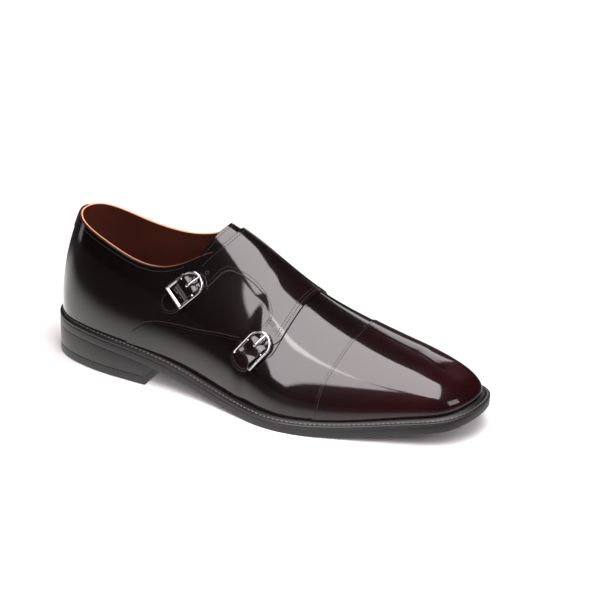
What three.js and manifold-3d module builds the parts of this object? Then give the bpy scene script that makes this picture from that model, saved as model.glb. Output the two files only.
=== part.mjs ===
// A leather monk strap shoe for the right foot, about EU size 42 to 43, in millimetres.
// X runs from heel to toe, Y towards the inner side of the foot, Z up, and the floor is z = 0.
// Everything is worked out from one surface, the last: the wooden form a shoe is made on.
import * as THREE from 'three';
import loadManifold from 'manifold-3d';

const manifold = await loadManifold();
manifold.setup();

// ---- Driving sizes -------------------------------------------------------------------------

const GAP = 0.3;               // air between two pieces that touch
const UPPER_WALL = 2.0;        // outer leather and lining together
const STRAP_LEATHER = 1.5;
const TONGUE_LEATHER = 1.8;
const INSOLE_THICKNESS = 3.0;
const WELT_SLOPE = 1.8;        // how far the welt's outer edge lies below the feather line
const WELT_THICKNESS = 2.0;
const WELT_REACH_INWARD = 8.0;
const OUTSOLE_THICKNESS = 4.7;
const FOREFOOT_SETTLE = 0.6;   // the tread is worn this far into a flat spot under the ball
const HEEL_BREAST = 76.0;      // x of the heel's front face
const TOP_LIFT_THICKNESS = 6.0;
const TOE_POINT = 5.0;         // the tip of the toe lies this far towards the inner side

// The shoe's own box, centred, is the frame's origin.
const BOX_CENTRE = { x: 146.4, y: -3.4 };

// Sections of the last from heel to toe. The feather line is the lower edge of the upper, the
// crest is the line along its top. Behind the throat the crest lies in the air over the collar.
//   x, outer, inner   feather line: distance from the heel, half-width on each side of the foot
//   feather           height of the feather line
//   crestX, Y, Z      point of the crest that belongs to the section
//   rise              height of the lower control point, as part of the section's height
//   flareO, flareI    how far the wall bulges beyond the feather line, outer and inner side
//   reachO, reachI    fullness of the shoulder, as part of the section's half-width
//   drop              how steeply the section leaves the crest
//   edgeO, edgeI      where the opening's edge cuts the wall; 1 is closed over the crest
const SECTION_COLUMNS = ['x', 'outer', 'inner', 'feather', 'crestX', 'crestY', 'crestZ', 'rise',
  'flareO', 'flareI', 'reachO', 'reachI', 'drop', 'edgeO', 'edgeI'];
const SECTIONS = {
  heelBack: [-3.3, 0, 0, 30.0, 46, 0.0, 140.0, 0.235, 1.8, 1.8, 0.76, 0.76, 0.10, 0.57, 0.57],
  heelCurve: [6, 19.2, 20.0, 29.4, 47, 0.0, 136.4, 0.25, 2.6, 3.1, 0.765, 0.775, 0.10, 0.567, 0.577],
  heelSide: [22, 27.6, 27.6, 29.0, 51, 0.0, 131.7, 0.27, 3.2, 3.5, 0.77, 0.785, 0.10, 0.555, 0.565],
  seat: [44, 32.7, 29.2, 28.0, 60, 0.1, 127.1, 0.29, 3.8, 3.9, 0.76, 0.78, 0.10, 0.53, 0.545],
  breast: [72, 34.5, 29.7, 25.0, 80, 0.5, 122.2, 0.30, 5.0, 3.5, 0.73, 0.75, 0.09, 0.505, 0.55],
  waist: [98, 35.6, 28.3, 20.6, 102, 1.1, 115.6, 0.30, 6.6, 3.4, 0.69, 0.71, 0.07, 0.60, 0.65],
  throat: [122, 39.2, 27.6, 15.2, 124, 1.6, 107.8, 0.30, 6.8, 4.1, 0.65, 0.67, 0.045, 0.77, 0.80],
  instep: [148, 45.9, 29.6, 10.9, 148, 1.6, 94.0, 0.30, 5.8, 4.8, 0.625, 0.63, 0.02, 0.83, 0.84],
  vampPoint: [178, 51.7, 37.6, 8.8, 178, 1.3, 74.2, 0.32, 3.9, 4.9, 0.645, 0.62, 0.005, 1, 1],
  ball: [205, 48.0, 43.6, 9.9, 205, 1.3, 60.9, 0.34, 2.6, 4.3, 0.675, 0.655, 0, 1, 1],
  toeCap: [235, 39.5, 43.9, 13.4, 234, 1.8, 50.0, 0.365, 2.0, 3.1, 0.71, 0.705, 0, 1, 1],
  toeSide: [262, 31.0, 37.0, 17.4, 253, 2.8, 44.6, 0.395, 2.0, 1.8, 0.72, 0.72, 0, 1, 1],
  toeCurve: [284, 19.6, 25.0, 20.9, 262, 3.5, 40.0, 0.415, 2.0, 1.3, 0.72, 0.72, 0, 1, 1],
  toeTip: [293.0, 0, 0, 23.5, 264, 4.0, 37.4, 0.415, 1.6, 1.6, 0.72, 0.72, 0, 1, 1],
};

// How far the sole stands out beyond the feather line, along the shoe.
const SOLE_MARGIN_COLUMNS = ['x', 'margin'];
const SOLE_MARGIN = {
  heel: [0, 2.1],
  breast: [60, 2.9],
  waist: [110, 4.9],
  ball: [190, 4.8],
  toe: [300, 5.2],
};

// The two straps, in the flat pattern of the panel: x along the shoe, girth down from the crest.
//   x, girth      middle of the buckle;  towardX, towardGirth   direction of the strap's end
//   tip           how far the end reaches beyond the buckle's middle
//   overBar       1 where the end lies over the buckle's straight bar, 0 where it tucks under it
const STRAP_COLUMNS = ['x', 'girth', 'towardX', 'towardGirth', 'tip', 'overBar'];
const STRAPS = {
  upper: [104.3, 52.7, -0.61, 0.79, 25.0, 0],
  lower: [159.6, 60.9, -0.45, 0.89, 16.0, 1],
};
const STRAP_HALF_WIDTH = 7.3;
const STRAP_WAIST = 5.6;       // half-width inside the buckle
const BUCKLE = {
  halfLength: 12.4,
  halfWidth: 8.6,
  rail: 2.0,
  height: 2.0,
  bevel: 0.3,
  lift: 2.8,
  barRadius: 0.7,
};
const PIN_RADIUS = 0.9;
// How far a strap's lower face stands off the quarter where it crosses the buckle.
const STRAP_RISE = { overMiddleBar: 4.4, overStraightBar: 6.4 };

// ---- Reading the tables --------------------------------------------------------------------

function rowsOf(table, columns) {
  return Object.values(table)
    .map((values) => Object.fromEntries(columns.map((name, i) => [name, values[i]])));
}

const sections = rowsOf(SECTIONS, SECTION_COLUMNS);
const margins = rowsOf(SOLE_MARGIN, SOLE_MARGIN_COLUMNS);
const straps = Object.fromEntries(Object.entries(STRAPS)
  .map(([name, values]) => [name, Object.fromEntries(STRAP_COLUMNS.map((c, i) => [c, values[i]]))]));

function lerpTable(rows, x, column) {
  const next = rows.findIndex((row) => row.x > x);
  if (next === 0) return rows[0][column];
  if (next < 0) return rows[rows.length - 1][column];
  const [a, b] = [rows[next - 1], rows[next]];
  return THREE.MathUtils.mapLinear(x, a.x, b.x, a[column], b[column]);
}

// ---- The last ------------------------------------------------------------------------------

// One loop of section lines: along the outer side from heel to toe, back along the inner side.
function sectionLine(row, side, isEnd) {
  const outer = side < 0;
  const mean = (a, b) => (a + b) / 2;
  const pick = (a, b) => (isEnd ? mean(a, b) : outer ? a : b);
  return [row.x, outer ? -row.outer : row.inner, row.feather, row.crestX, row.crestY, row.crestZ, row.rise,
    pick(row.flareO, row.flareI), pick(row.reachO, row.reachI), row.drop, pick(row.edgeO, row.edgeI)];
}

function loopOfSections() {
  const last = sections.length - 1;
  const outerSide = sections.map((row, i) => sectionLine(row, -1, i === 0 || i === last));
  outerSide[last][1] = TOE_POINT;
  const innerSide = sections.slice(1, last).reverse().map((row) => sectionLine(row, 1, false));
  return [...outerSide, ...innerSide, outerSide[0]];
}

// Knots from the distances along the feather line, made equal on both sides of the foot.
function loopKnots(loop) {
  const steps = loop.slice(1).map((p, i) => Math.hypot(p[0] - loop[i][0], p[1] - loop[i][1]));
  const even = steps.map((step, i) => (step + steps[steps.length - 1 - i]) / 2);
  const total = even.reduce((a, b) => a + b, 0);
  const knots = [0];
  even.forEach((step) => knots.push(knots[knots.length - 1] + step / total));
  return knots;
}

function solveLinear(matrix, right) {
  const size = matrix.length;
  for (let pivot = 0; pivot < size; pivot++) {
    for (let row = pivot + 1; row < size; row++) {
      const factor = matrix[row][pivot] / matrix[pivot][pivot];
      for (let k = pivot; k < size; k++) matrix[row][k] -= factor * matrix[pivot][k];
      right[row] = right[row].map((value, k) => value - factor * right[pivot][k]);
    }
  }
  const result = [];
  for (let row = size - 1; row >= 0; row--) {
    result[row] = right[row].map((value, k) => {
      let sum = value;
      for (let c = row + 1; c < size; c++) sum -= matrix[row][c] * result[c][k];
      return sum / matrix[row][row];
    });
  }
  return result;
}

// A smooth closed curve (continuous curvature) through every section line.
function periodicSpline(knots, points) {
  const count = points.length - 1;
  const step = (i) => knots[((i + count) % count) + 1] - knots[(i + count) % count];
  const slope = (i, k) => (points[((i + count) % count) + 1][k] - points[(i + count) % count][k]) / step(i);
  const matrix = [];
  const right = [];
  for (let i = 0; i < count; i++) {
    matrix[i] = new Array(count).fill(0);
    matrix[i][(i + count - 1) % count] = step(i - 1);
    matrix[i][i] = 2 * (step(i - 1) + step(i));
    matrix[i][(i + 1) % count] = step(i);
    right[i] = points[i].map((_, k) => 6 * (slope(i, k) - slope(i - 1, k)));
  }
  const bend = solveLinear(matrix, right);
  return (u) => {
    const turn = u - Math.floor(u);
    const i = Math.min(count - 1, knots.findIndex((knot) => knot > turn) - 1 + (turn >= 1 ? count : 0));
    const h = step(i);
    const a = (knots[i + 1] - turn) / h;
    const b = (turn - knots[i]) / h;
    const next = (i + 1) % count;
    return points[i].map((value, k) => a * value + b * points[i + 1][k]
      + ((a ** 3 - a) * bend[i][k] + (b ** 3 - b) * bend[next][k]) * h * h / 6);
  };
}

const loop = loopOfSections();
const lineAt = periodicSpline(loopKnots(loop), loop);
const FINE = 1e-4;

// Unit vector pointing away from the foot, level, at place u of the feather line.
function outwardAt(u) {
  const before = lineAt(u - FINE);
  const after = lineAt(u + FINE);
  return new THREE.Vector3(after[1] - before[1], before[0] - after[0], 0).normalize();
}

// A point of the last: u goes once round the feather line, t from the feather line to the crest.
function lastPoint(u, t) {
  const [x, y, z, crestX, crestY, crestZ, rise, flare, reach, drop] = lineAt(u);
  const foot = new THREE.Vector3(x, y, z);
  const crest = new THREE.Vector3(crestX, crestY, crestZ);
  const height = crestZ - z;
  const low = foot.clone().addScaledVector(outwardAt(u), flare).setZ(z + rise * height);
  const high = crest.clone().lerp(foot, reach).setZ(crestZ - drop * height);
  return new THREE.CubicBezierCurve3(foot, low, high, crest).getPoint(t);
}

function lastNormal(u, t) {
  const safe = THREE.MathUtils.clamp(t, 0.001, 0.998);
  const along = lastPoint(u + FINE, safe).sub(lastPoint(u - FINE, safe));
  const up = lastPoint(u, safe + FINE).sub(lastPoint(u, safe - FINE));
  return along.cross(up).normalize();
}

const openingEdge = (u) => Math.min(1, lineAt(u)[10]);

// A point of the feather line moved outward, level.
function featherPoint(u, outward) {
  const [x, y] = lineAt(u);
  const away = outwardAt(u);
  return new THREE.Vector2(x + away.x * outward, y + away.y * outward);
}

const soleEdge = (u, extra = 0) => featherPoint(u, lerpTable(margins, lineAt(u)[0], 'margin') + extra);

// ---- Mesh helpers --------------------------------------------------------------------------

class Faces {
  constructor() {
    this.points = [];
    this.indices = [];
  }

  point(vector) {
    this.points.push(vector);
    return this.points.length - 1;
  }

  triangle(a, b, c) {
    if (a !== b && b !== c && a !== c) this.indices.push(a, b, c);
  }

  quad(a, b, c, d) {
    this.triangle(a, b, c);
    this.triangle(a, c, d);
  }

  volume() {
    const { points, indices } = this;
    let six = 0;
    for (let i = 0; i < indices.length; i += 3) {
      const [a, b, c] = indices.slice(i, i + 3).map((k) => points[k]);
      six += a.dot(b.clone().cross(c));
    }
    return six / 6;
  }

  geometry() {
    if (this.volume() < 0) this.indices.reverse();
    const geometry = new THREE.BufferGeometry();
    const numbers = this.points.flatMap((p) => p.toArray());
    geometry.setAttribute('position', new THREE.Float32BufferAttribute(numbers, 3));
    geometry.setIndex(this.indices);
    geometry.computeVertexNormals();
    return geometry;
  }
}

const LOOP_STEPS = 92;         // columns round the shoe, an even number
const placeOf = (k) => (k % LOOP_STEPS) / LOOP_STEPS;
const mirrorOf = (k) => (LOOP_STEPS - k) % LOOP_STEPS;

// ---- Upper ---------------------------------------------------------------------------------

const WALL_ROWS = 11;

const CLOSED_FROM = sections.find((row) => row.edgeO === 1).x;

// The columns of the upper that are closed over the crest, forward of the throat.
function isClosed(k) {
  return [k, mirrorOf(k)].every((column) => lineAt(placeOf(column))[0] > CLOSED_FROM);
}

// Outer skin at the last's surface, inner skin one wall inside it, joined at opening and feather line.
function upperGeometry() {
  const faces = new Faces();
  const outer = [];
  const inner = [];
  for (let k = 0; k < LOOP_STEPS; k++) {
    const u = placeOf(k);
    const top = isClosed(k) ? 1 : Math.min(0.985, openingEdge(u));
    const joined = isClosed(k) && k > LOOP_STEPS / 2;
    outer[k] = [];
    inner[k] = [];
    for (let row = 0; row <= WALL_ROWS; row++) {
      if (joined && row === WALL_ROWS) {
        outer[k][row] = outer[mirrorOf(k)][row];
        inner[k][row] = inner[mirrorOf(k)][row];
        continue;
      }
      const t = top * row / WALL_ROWS;
      const surface = lastPoint(u, t);
      const normal = row === 0 ? outwardAt(u) : lastNormal(u, t);
      if (isClosed(k) && row === WALL_ROWS) normal.add(lastNormal(placeOf(mirrorOf(k)), t)).normalize();
      outer[k][row] = faces.point(surface);
      inner[k][row] = faces.point(surface.clone().addScaledVector(normal, -UPPER_WALL));
    }
  }
  for (let k = 0; k < LOOP_STEPS; k++) {
    const next = (k + 1) % LOOP_STEPS;
    for (let row = 0; row < WALL_ROWS; row++) {
      faces.quad(outer[k][row], outer[next][row], outer[next][row + 1], outer[k][row + 1]);
      faces.quad(inner[k][row + 1], inner[next][row + 1], inner[next][row], inner[k][row]);
    }
    faces.quad(inner[k][0], inner[next][0], outer[next][0], outer[k][0]);
    if (!isClosed(k) || !isClosed(next)) {
      faces.quad(outer[k][WALL_ROWS], outer[next][WALL_ROWS], inner[next][WALL_ROWS], inner[k][WALL_ROWS]);
    }
  }
  return faces.geometry();
}

// ---- Sole pieces ---------------------------------------------------------------------------

// Height of the feather line at a distance along the shoe, carried on straight past both ends.
const levels = [];
for (let k = 0; k <= LOOP_STEPS / 2; k++) {
  const [x, , z] = lineAt(placeOf(k));
  levels.push({ x, z });
}

function levelAt(x) {
  const found = levels.findIndex((level) => level.x > x);
  const next = found < 0 ? levels.length - 1 : Math.max(1, found);
  const [a, b] = [levels[next - 1], levels[next]];
  return THREE.MathUtils.mapLinear(x, a.x, b.x, a.z, b.z);
}

const weltFloor = (x) => levelAt(x) - WELT_SLOPE - WELT_THICKNESS;
const treadHeight = (x) => Math.max(0, weltFloor(x) - GAP - OUTSOLE_THICKNESS - FOREFOOT_SETTLE);

// A slab between two heights, made of bars that cross the shoe from its outer to its inner edge.
function slabGeometry(bars, topAt, bottomAt, across = 4) {
  const faces = new Faces();
  const layer = (heightAt) => bars.map((bar) => {
    const isPoint = bar.outer.distanceTo(bar.inner) < 1e-6;
    const row = [];
    for (let i = 0; i <= across; i++) {
      const level = bar.outer.clone().lerp(bar.inner, i / across);
      const place = new THREE.Vector3(level.x, level.y, heightAt(level.x));
      row.push(isPoint && i > 0 ? row[0] : faces.point(place));
    }
    return row;
  });
  const top = layer(topAt);
  const bottom = layer(bottomAt);
  for (let k = 0; k + 1 < bars.length; k++) {
    for (let i = 0; i < across; i++) {
      faces.quad(top[k][i], top[k + 1][i], top[k + 1][i + 1], top[k][i + 1]);
      faces.quad(bottom[k][i + 1], bottom[k + 1][i + 1], bottom[k + 1][i], bottom[k][i]);
    }
    faces.quad(top[k][across], top[k + 1][across], bottom[k + 1][across], bottom[k][across]);
    faces.quad(bottom[k][0], bottom[k + 1][0], top[k + 1][0], top[k][0]);
  }
  const front = bars.length - 1;
  for (let i = 0; i < across; i++) {
    faces.quad(top[0][i + 1], bottom[0][i + 1], bottom[0][i], top[0][i]);
    faces.quad(top[front][i], bottom[front][i], bottom[front][i + 1], top[front][i + 1]);
  }
  return faces.geometry();
}

function fullLengthBars(edge) {
  const bars = [];
  for (let k = 0; k <= LOOP_STEPS / 2; k++) {
    bars.push({ outer: edge(placeOf(k)), inner: edge(placeOf(mirrorOf(k))) });
  }
  return bars;
}

function insoleGeometry() {
  const edge = (u) => featherPoint(u, -(UPPER_WALL + 2 * GAP));
  return slabGeometry(fullLengthBars(edge), (x) => levelAt(x) + INSOLE_THICKNESS, levelAt);
}

function outsoleGeometry() {
  return slabGeometry(fullLengthBars(soleEdge), (x) => weltFloor(x) - GAP, treadHeight);
}

// The place on one side of the sole's edge where it reaches a given x.
function soleEdgePlace(x, from, to) {
  let [low, high] = [from, to];
  for (let i = 0; i < 40; i++) {
    const middle = (low + high) / 2;
    if (soleEdge(middle).x < x) low = middle;
    else high = middle;
  }
  return low;
}

// The heel is the sole's outline behind the breast, cut off square.
function heelBars() {
  const steps = 16;
  const outerEnd = soleEdgePlace(HEEL_BREAST, 0, 0.4);
  const innerEnd = soleEdgePlace(HEEL_BREAST, 1, 0.6);
  const bars = [];
  for (let k = 0; k <= steps; k++) {
    bars.push({
      outer: soleEdge(outerEnd * k / steps),
      inner: soleEdge(1 + (innerEnd - 1) * k / steps),
    });
  }
  return bars;
}

function heelStackGeometry() {
  return slabGeometry(heelBars(), (x) => treadHeight(x) - GAP, () => TOP_LIFT_THICKNESS + GAP);
}

function topLiftGeometry() {
  return slabGeometry(heelBars(), () => TOP_LIFT_THICKNESS, () => 0);
}

// The welt: a ring that slopes down outward from the feather line.
function weltGeometry() {
  const faces = new Faces();
  const rings = [];
  for (let k = 0; k < LOOP_STEPS; k++) {
    const u = placeOf(k);
    const corner = (level, heightAt) => faces.point(new THREE.Vector3(level.x, level.y, heightAt(level.x)));
    const inside = featherPoint(u, -WELT_REACH_INWARD);
    rings.push([
      corner(inside, (x) => levelAt(x) - GAP),
      corner(featherPoint(u, 0), (x) => levelAt(x) - GAP),
      corner(soleEdge(u), (x) => levelAt(x) - WELT_SLOPE),
      corner(soleEdge(u), weltFloor),
      corner(inside, weltFloor),
    ]);
  }
  rings.forEach((ring, k) => {
    const next = rings[(k + 1) % LOOP_STEPS];
    ring.forEach((corner, i) => {
      const j = (i + 1) % ring.length;
      faces.quad(corner, ring[j], next[j], next[i]);
    });
  });
  return faces.geometry();
}

// ---- Leather laid over the last ------------------------------------------------------------

const COLUMN_SAMPLES = 40;
const columnCache = new Map();

// Distances from the crest down one section line, for a place u.
function girthColumn(u) {
  if (!columnCache.has(u)) {
    const girths = [0];
    let before = lastPoint(u, 1);
    for (let i = 1; i <= COLUMN_SAMPLES; i++) {
      const here = lastPoint(u, 1 - i / COLUMN_SAMPLES);
      girths.push(girths[i - 1] + here.distanceTo(before));
      before = here;
    }
    columnCache.set(u, girths);
  }
  return columnCache.get(u);
}

const placeCache = new Map();

// The place on the outer side whose feather line has this x.
function outerPlace(x) {
  if (!placeCache.has(x)) {
    let [low, high] = [0.02, 0.48];
    for (let i = 0; i < 40; i++) {
      const middle = (low + high) / 2;
      if (lineAt(middle)[0] < x) low = middle;
      else high = middle;
    }
    placeCache.set(x, low);
  }
  return placeCache.get(x);
}

// A point of the flat pattern laid on the last: x along the shoe, girth down from the crest
// (positive on the outer side, negative on the inner side), lift above the surface.
function laidPoint(x, girth, lift) {
  const outer = outerPlace(x);
  const u = girth >= 0 ? outer : 1 - outer;
  const girths = girthColumn(u);
  const next = Math.min(COLUMN_SAMPLES, Math.max(1, girths.findIndex((g) => g > Math.abs(girth))));
  const part = (Math.abs(girth) - girths[next - 1]) / (girths[next] - girths[next - 1]);
  const t = 1 - (next - 1 + part) / COLUMN_SAMPLES;
  return lastPoint(u, t).addScaledVector(lastNormal(u, t), lift);
}

// A flat outline cut into square cells, so that it can bend when it is laid on the last.
function cellTriangles(outline, cell) {
  const sheet = new manifold.CrossSection([outline.map((p) => [p.x, p.y])], 'Positive');
  const { min, max } = sheet.bounds();
  const points = [];
  const triangles = [];
  const keys = new Map();
  const indexOf = (p) => {
    const key = `${Math.round(p.x * 1e3)},${Math.round(p.y * 1e3)}`;
    if (!keys.has(key)) {
      keys.set(key, points.length);
      points.push(p);
    }
    return keys.get(key);
  };
  for (let x = Math.floor(min[0] / cell) * cell; x < max[0]; x += cell) {
    for (let y = Math.floor(min[1] / cell) * cell; y < max[1]; y += cell) {
      const square = manifold.CrossSection.square([cell, cell]).translate([x, y]);
      sheet.intersect(square).toPolygons().forEach((polygon) => {
        const corners = polygon.map(([px, py]) => new THREE.Vector2(px, py));
        THREE.ShapeUtils.triangulateShape(corners, []).forEach((triangle) => {
          triangles.push(triangle.map((i) => indexOf(corners[i])));
        });
      });
    }
  }
  return { points, triangles };
}

// A sheet of leather cut to a flat outline, then laid on the last with its thickness.
function laidSheetGeometry(shape, liftAt, thickness, cell, segments = 8) {
  const outline = shape.getPoints(segments);
  if (THREE.ShapeUtils.isClockWise(outline)) outline.reverse();
  const { points, triangles } = cellTriangles(outline, cell);
  const faces = new Faces();
  const lower = points.map((p) => faces.point(laidPoint(p.x, p.y, liftAt(p))));
  const upper = points.map((p) => faces.point(laidPoint(p.x, p.y, liftAt(p) + thickness)));
  const halfEdges = new Set();
  triangles.filter(([a, b, c]) => a !== b && b !== c && c !== a).forEach(([a, b, c]) => {
    faces.triangle(upper[a], upper[b], upper[c]);
    faces.triangle(lower[c], lower[b], lower[a]);
    [[a, b], [b, c], [c, a]].forEach(([p, q]) => halfEdges.add(`${p},${q}`));
  });
  halfEdges.forEach((key) => {
    const [a, b] = key.split(',').map(Number);
    if (!halfEdges.has(`${b},${a}`)) faces.quad(upper[b], upper[a], lower[a], lower[b]);
  });
  return faces.geometry();
}

// ---- Tongue --------------------------------------------------------------------------------

function tongueShape() {
  const shape = new THREE.Shape();
  shape.moveTo(176, -16);
  shape.quadraticCurveTo(184, 0, 176, 16);
  shape.lineTo(140, 27);
  shape.lineTo(107, 33);
  shape.splineThru([[106, 29], [110, 17], [114.5, 6], [116, 0], [116, -6], [114, -16], [112, -26]]
    .map(([x, girth]) => new THREE.Vector2(x, girth)));
  shape.lineTo(140, -26);
  shape.closePath();
  return shape;
}

// ---- Strap panel ---------------------------------------------------------------------------

// True millimetres around a buckle's middle: how a step in the pattern's x and girth runs along
// the strap (towards its end) and across it (towards the toe), and back.
function strapAxes(strap) {
  const step = (dx, dg) => laidPoint(strap.x + dx, strap.girth + dg, 0)
    .sub(laidPoint(strap.x - dx, strap.girth - dg, 0)).divideScalar(2);
  const perX = step(1, 0);
  const perGirth = step(0, 1);
  const along = perX.clone().multiplyScalar(strap.towardX)
    .addScaledVector(perGirth, strap.towardGirth).normalize();
  const away = perGirth.clone().cross(perX).normalize();
  const across = away.clone().cross(along).normalize();
  const toMillimetres = [along, across].flatMap((way) => [perX.dot(way), perGirth.dot(way)]);
  return { along, across, away, toMillimetres };
}

Object.values(straps).forEach((strap) => Object.assign(strap, strapAxes(strap)));

// Pattern point of a strap: along from the buckle's middle towards the strap's end, and across.
function strapPoint(strap, along, across) {
  const [a, b, c, d] = strap.toMillimetres;
  const size = a * d - b * c;
  const x = (d * along - b * across) / size;
  const girth = (a * across - c * along) / size;
  return new THREE.Vector2(strap.x + x, strap.girth + girth);
}

function strapPlace(strap, point) {
  const [a, b, c, d] = strap.toMillimetres;
  const [x, girth] = [point.x - strap.x, point.y - strap.girth];
  return { along: a * x + b * girth, across: c * x + d * girth };
}

const STRAP_BEGIN = -15;       // where a strap leaves the panel, measured from the buckle's middle

// The free part of a strap: straight, waisted inside the buckle, with a pointed end.
function addStrapEnd(shape, strap) {
  const at = (along, across) => strapPoint(strap, along, across);
  const line = (along, across) => shape.lineTo(...at(along, across).toArray());
  const [wide, waist] = [STRAP_HALF_WIDTH, STRAP_WAIST];
  const shoulder = BUCKLE.halfLength - 1;
  const taper = Math.max(strap.tip - 8, shoulder + 0.2);
  const bulge = (taper + 2 * strap.tip) / 3;
  line(-shoulder, wide);
  line(-shoulder + 3, waist);
  line(shoulder - 3, waist);
  line(shoulder, wide);
  line(taper, wide);
  shape.quadraticCurveTo(...at(bulge, wide * 0.8).toArray(), ...at(strap.tip, 0).toArray());
  shape.quadraticCurveTo(...at(bulge, -wide * 0.8).toArray(), ...at(taper, -wide).toArray());
  line(shoulder, -wide);
  line(shoulder - 3, -waist);
  line(-shoulder + 3, -waist);
  line(-shoulder, -wide);
}

// The panel goes from the inner side over the instep; its two straps leave it on the outer side.
function panelShape() {
  const { upper, lower } = straps;
  const through = (points) => points.map(([x, girth]) => new THREE.Vector2(x, girth));
  const shape = new THREE.Shape();
  shape.moveTo(176, -38);
  shape.splineThru([...through([[180.5, -16], [180.2, 2], [178.4, 16], [176.5, 31]]),
    strapPoint(lower, STRAP_BEGIN, STRAP_HALF_WIDTH)]);
  addStrapEnd(shape, lower);
  shape.splineThru([strapPoint(lower, STRAP_BEGIN, -STRAP_HALF_WIDTH),
    ...through([[162.5, 36.5], [156.5, 30], [147, 27.4], [136, 28.2], [127.5, 31.6]]),
    strapPoint(upper, STRAP_BEGIN, STRAP_HALF_WIDTH)]);
  addStrapEnd(shape, upper);
  shape.splineThru([strapPoint(upper, STRAP_BEGIN, -STRAP_HALF_WIDTH),
    ...through([[116, 23], [121.5, 14], [124, 5], [124.5, -6], [122, -20], [116, -38]])]);
  shape.closePath();
  return shape;
}

const smooth = (value, from, to) =>
  THREE.MathUtils.smootherstep(value, Math.min(from, to), Math.max(from, to));

// Height of the strap's lower face: flat on the quarter, raised over the buckle's middle bar.
function strapLift(point) {
  return Object.values(straps).reduce((lift, strap) => {
    const { along, across } = strapPlace(strap, point);
    if (Math.abs(across) > STRAP_HALF_WIDTH + 3 || along < -BUCKLE.halfLength) return lift;
    const clear = BUCKLE.halfLength - 3.6;
    const up = smooth(along, -clear, -1.5);
    const down = 1 - smooth(along, 1.5, clear);
    if (!strap.overBar) return lift + STRAP_RISE.overMiddleBar * up * down;
    const end = smooth(along, 2, clear);
    return lift + THREE.MathUtils.lerp(STRAP_RISE.overMiddleBar * up, STRAP_RISE.overStraightBar, end);
  }, GAP);
}

// ---- Buckles -------------------------------------------------------------------------------

// Frame of a buckle on the shoe: x towards the strap's end, y across, z away from the leather.
function buckleMatrix(strap) {
  return new THREE.Matrix4().makeBasis(strap.along, strap.across, strap.away)
    .setPosition(laidPoint(strap.x, strap.girth, BUCKLE.lift));
}

// A D-shaped outline: straight towards the strap's end, round towards the instep.
function buckleOutline(path, inset) {
  const halfWidth = BUCKLE.halfWidth - inset;
  const straight = BUCKLE.halfLength - inset;
  const round = BUCKLE.halfLength - BUCKLE.halfWidth;
  path.moveTo(straight, -halfWidth);
  path.lineTo(straight, halfWidth);
  path.lineTo(-round, halfWidth);
  path.absarc(-round, 0, halfWidth, Math.PI / 2, 3 * Math.PI / 2, false);
  path.closePath();
  return path;
}

function toManifold(geometry) {
  const position = geometry.getAttribute('position');
  const keys = new Map();
  const vertices = [];
  const indexOf = (i) => {
    const place = [position.getX(i), position.getY(i), position.getZ(i)];
    const corner = place.map((v) => Math.round(v * 1e5) / 1e5);
    const key = corner.join(',');
    if (!keys.has(key)) {
      keys.set(key, keys.size);
      vertices.push(...corner);
    }
    return keys.get(key);
  };
  const count = geometry.index ? geometry.index.count : position.count;
  const triangles = [];
  for (let i = 0; i < count; i += 3) {
    const [a, b, c] = [0, 1, 2].map((k) => indexOf(geometry.index ? geometry.index.getX(i + k) : i + k));
    if (a !== b && b !== c && a !== c) triangles.push(a, b, c);
  }
  return new manifold.Manifold(new manifold.Mesh({
    numProp: 3,
    vertProperties: new Float32Array(vertices),
    triVerts: new Uint32Array(triangles),
  }));
}

function fromManifold(solid) {
  const { vertProperties, triVerts } = solid.getMesh();
  const geometry = new THREE.BufferGeometry();
  geometry.setAttribute('position', new THREE.Float32BufferAttribute(vertProperties, 3));
  geometry.setIndex(Array.from(triVerts));
  geometry.computeVertexNormals();
  return geometry;
}

// A D frame with a bar across its middle for the pin.
function buckleFrameGeometry() {
  const { rail, height, bevel, barRadius, halfWidth } = BUCKLE;
  const outline = buckleOutline(new THREE.Shape(), bevel);
  outline.holes.push(buckleOutline(new THREE.Path(), rail - bevel));
  const ring = new THREE.ExtrudeGeometry(outline, {
    depth: height - 2 * bevel,
    bevelThickness: bevel,
    bevelSize: bevel,
    bevelSegments: 1,
    curveSegments: 12,
  }).translate(0, 0, bevel);
  const bar = new THREE.CylinderGeometry(barRadius, barRadius, 2 * (halfWidth - rail / 2), 10)
    .translate(0, 0, barRadius);
  return fromManifold(toManifold(ring).add(toManifold(bar)));
}

// The pin lies over the strap and rests on the round end.
function bucklePinGeometry() {
  const frameTop = BUCKLE.height;
  const strapTop = STRAP_RISE.overMiddleBar + GAP + STRAP_LEATHER - BUCKLE.lift;
  const path = new THREE.CatmullRomCurve3([
    new THREE.Vector3(-1, 0, strapTop + PIN_RADIUS + 0.4),
    new THREE.Vector3(-5, 0, strapTop + PIN_RADIUS + 0.4),
    new THREE.Vector3(-BUCKLE.halfLength + 1, 0, frameTop + PIN_RADIUS + GAP),
    new THREE.Vector3(-BUCKLE.halfLength - 1, 0, frameTop + PIN_RADIUS - 0.1),
  ]);
  const section = new THREE.Shape();
  section.absarc(0, 0, PIN_RADIUS, 0, 2 * Math.PI, false);
  return new THREE.ExtrudeGeometry(section, { extrudePath: path, steps: 10, curveSegments: 5 });
}

// ---- Assembly ------------------------------------------------------------------------------

const burgundyLeather = new THREE.MeshStandardMaterial({ color: 0x33141a, roughness: 0.18 });
const blackLeather = new THREE.MeshStandardMaterial({ color: 0x17161a, roughness: 0.4 });
const tanLeather = new THREE.MeshStandardMaterial({ color: 0x7a4320, roughness: 0.55 });
const blackRubber = new THREE.MeshStandardMaterial({ color: 0x151516, roughness: 0.6 });
const polishedMetal = new THREE.MeshStandardMaterial({ color: 0xcfd0d2, roughness: 0.15, metalness: 1 });

const shoe = new THREE.Group();
shoe.position.set(-BOX_CENTRE.x, -BOX_CENTRE.y, 0);

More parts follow.
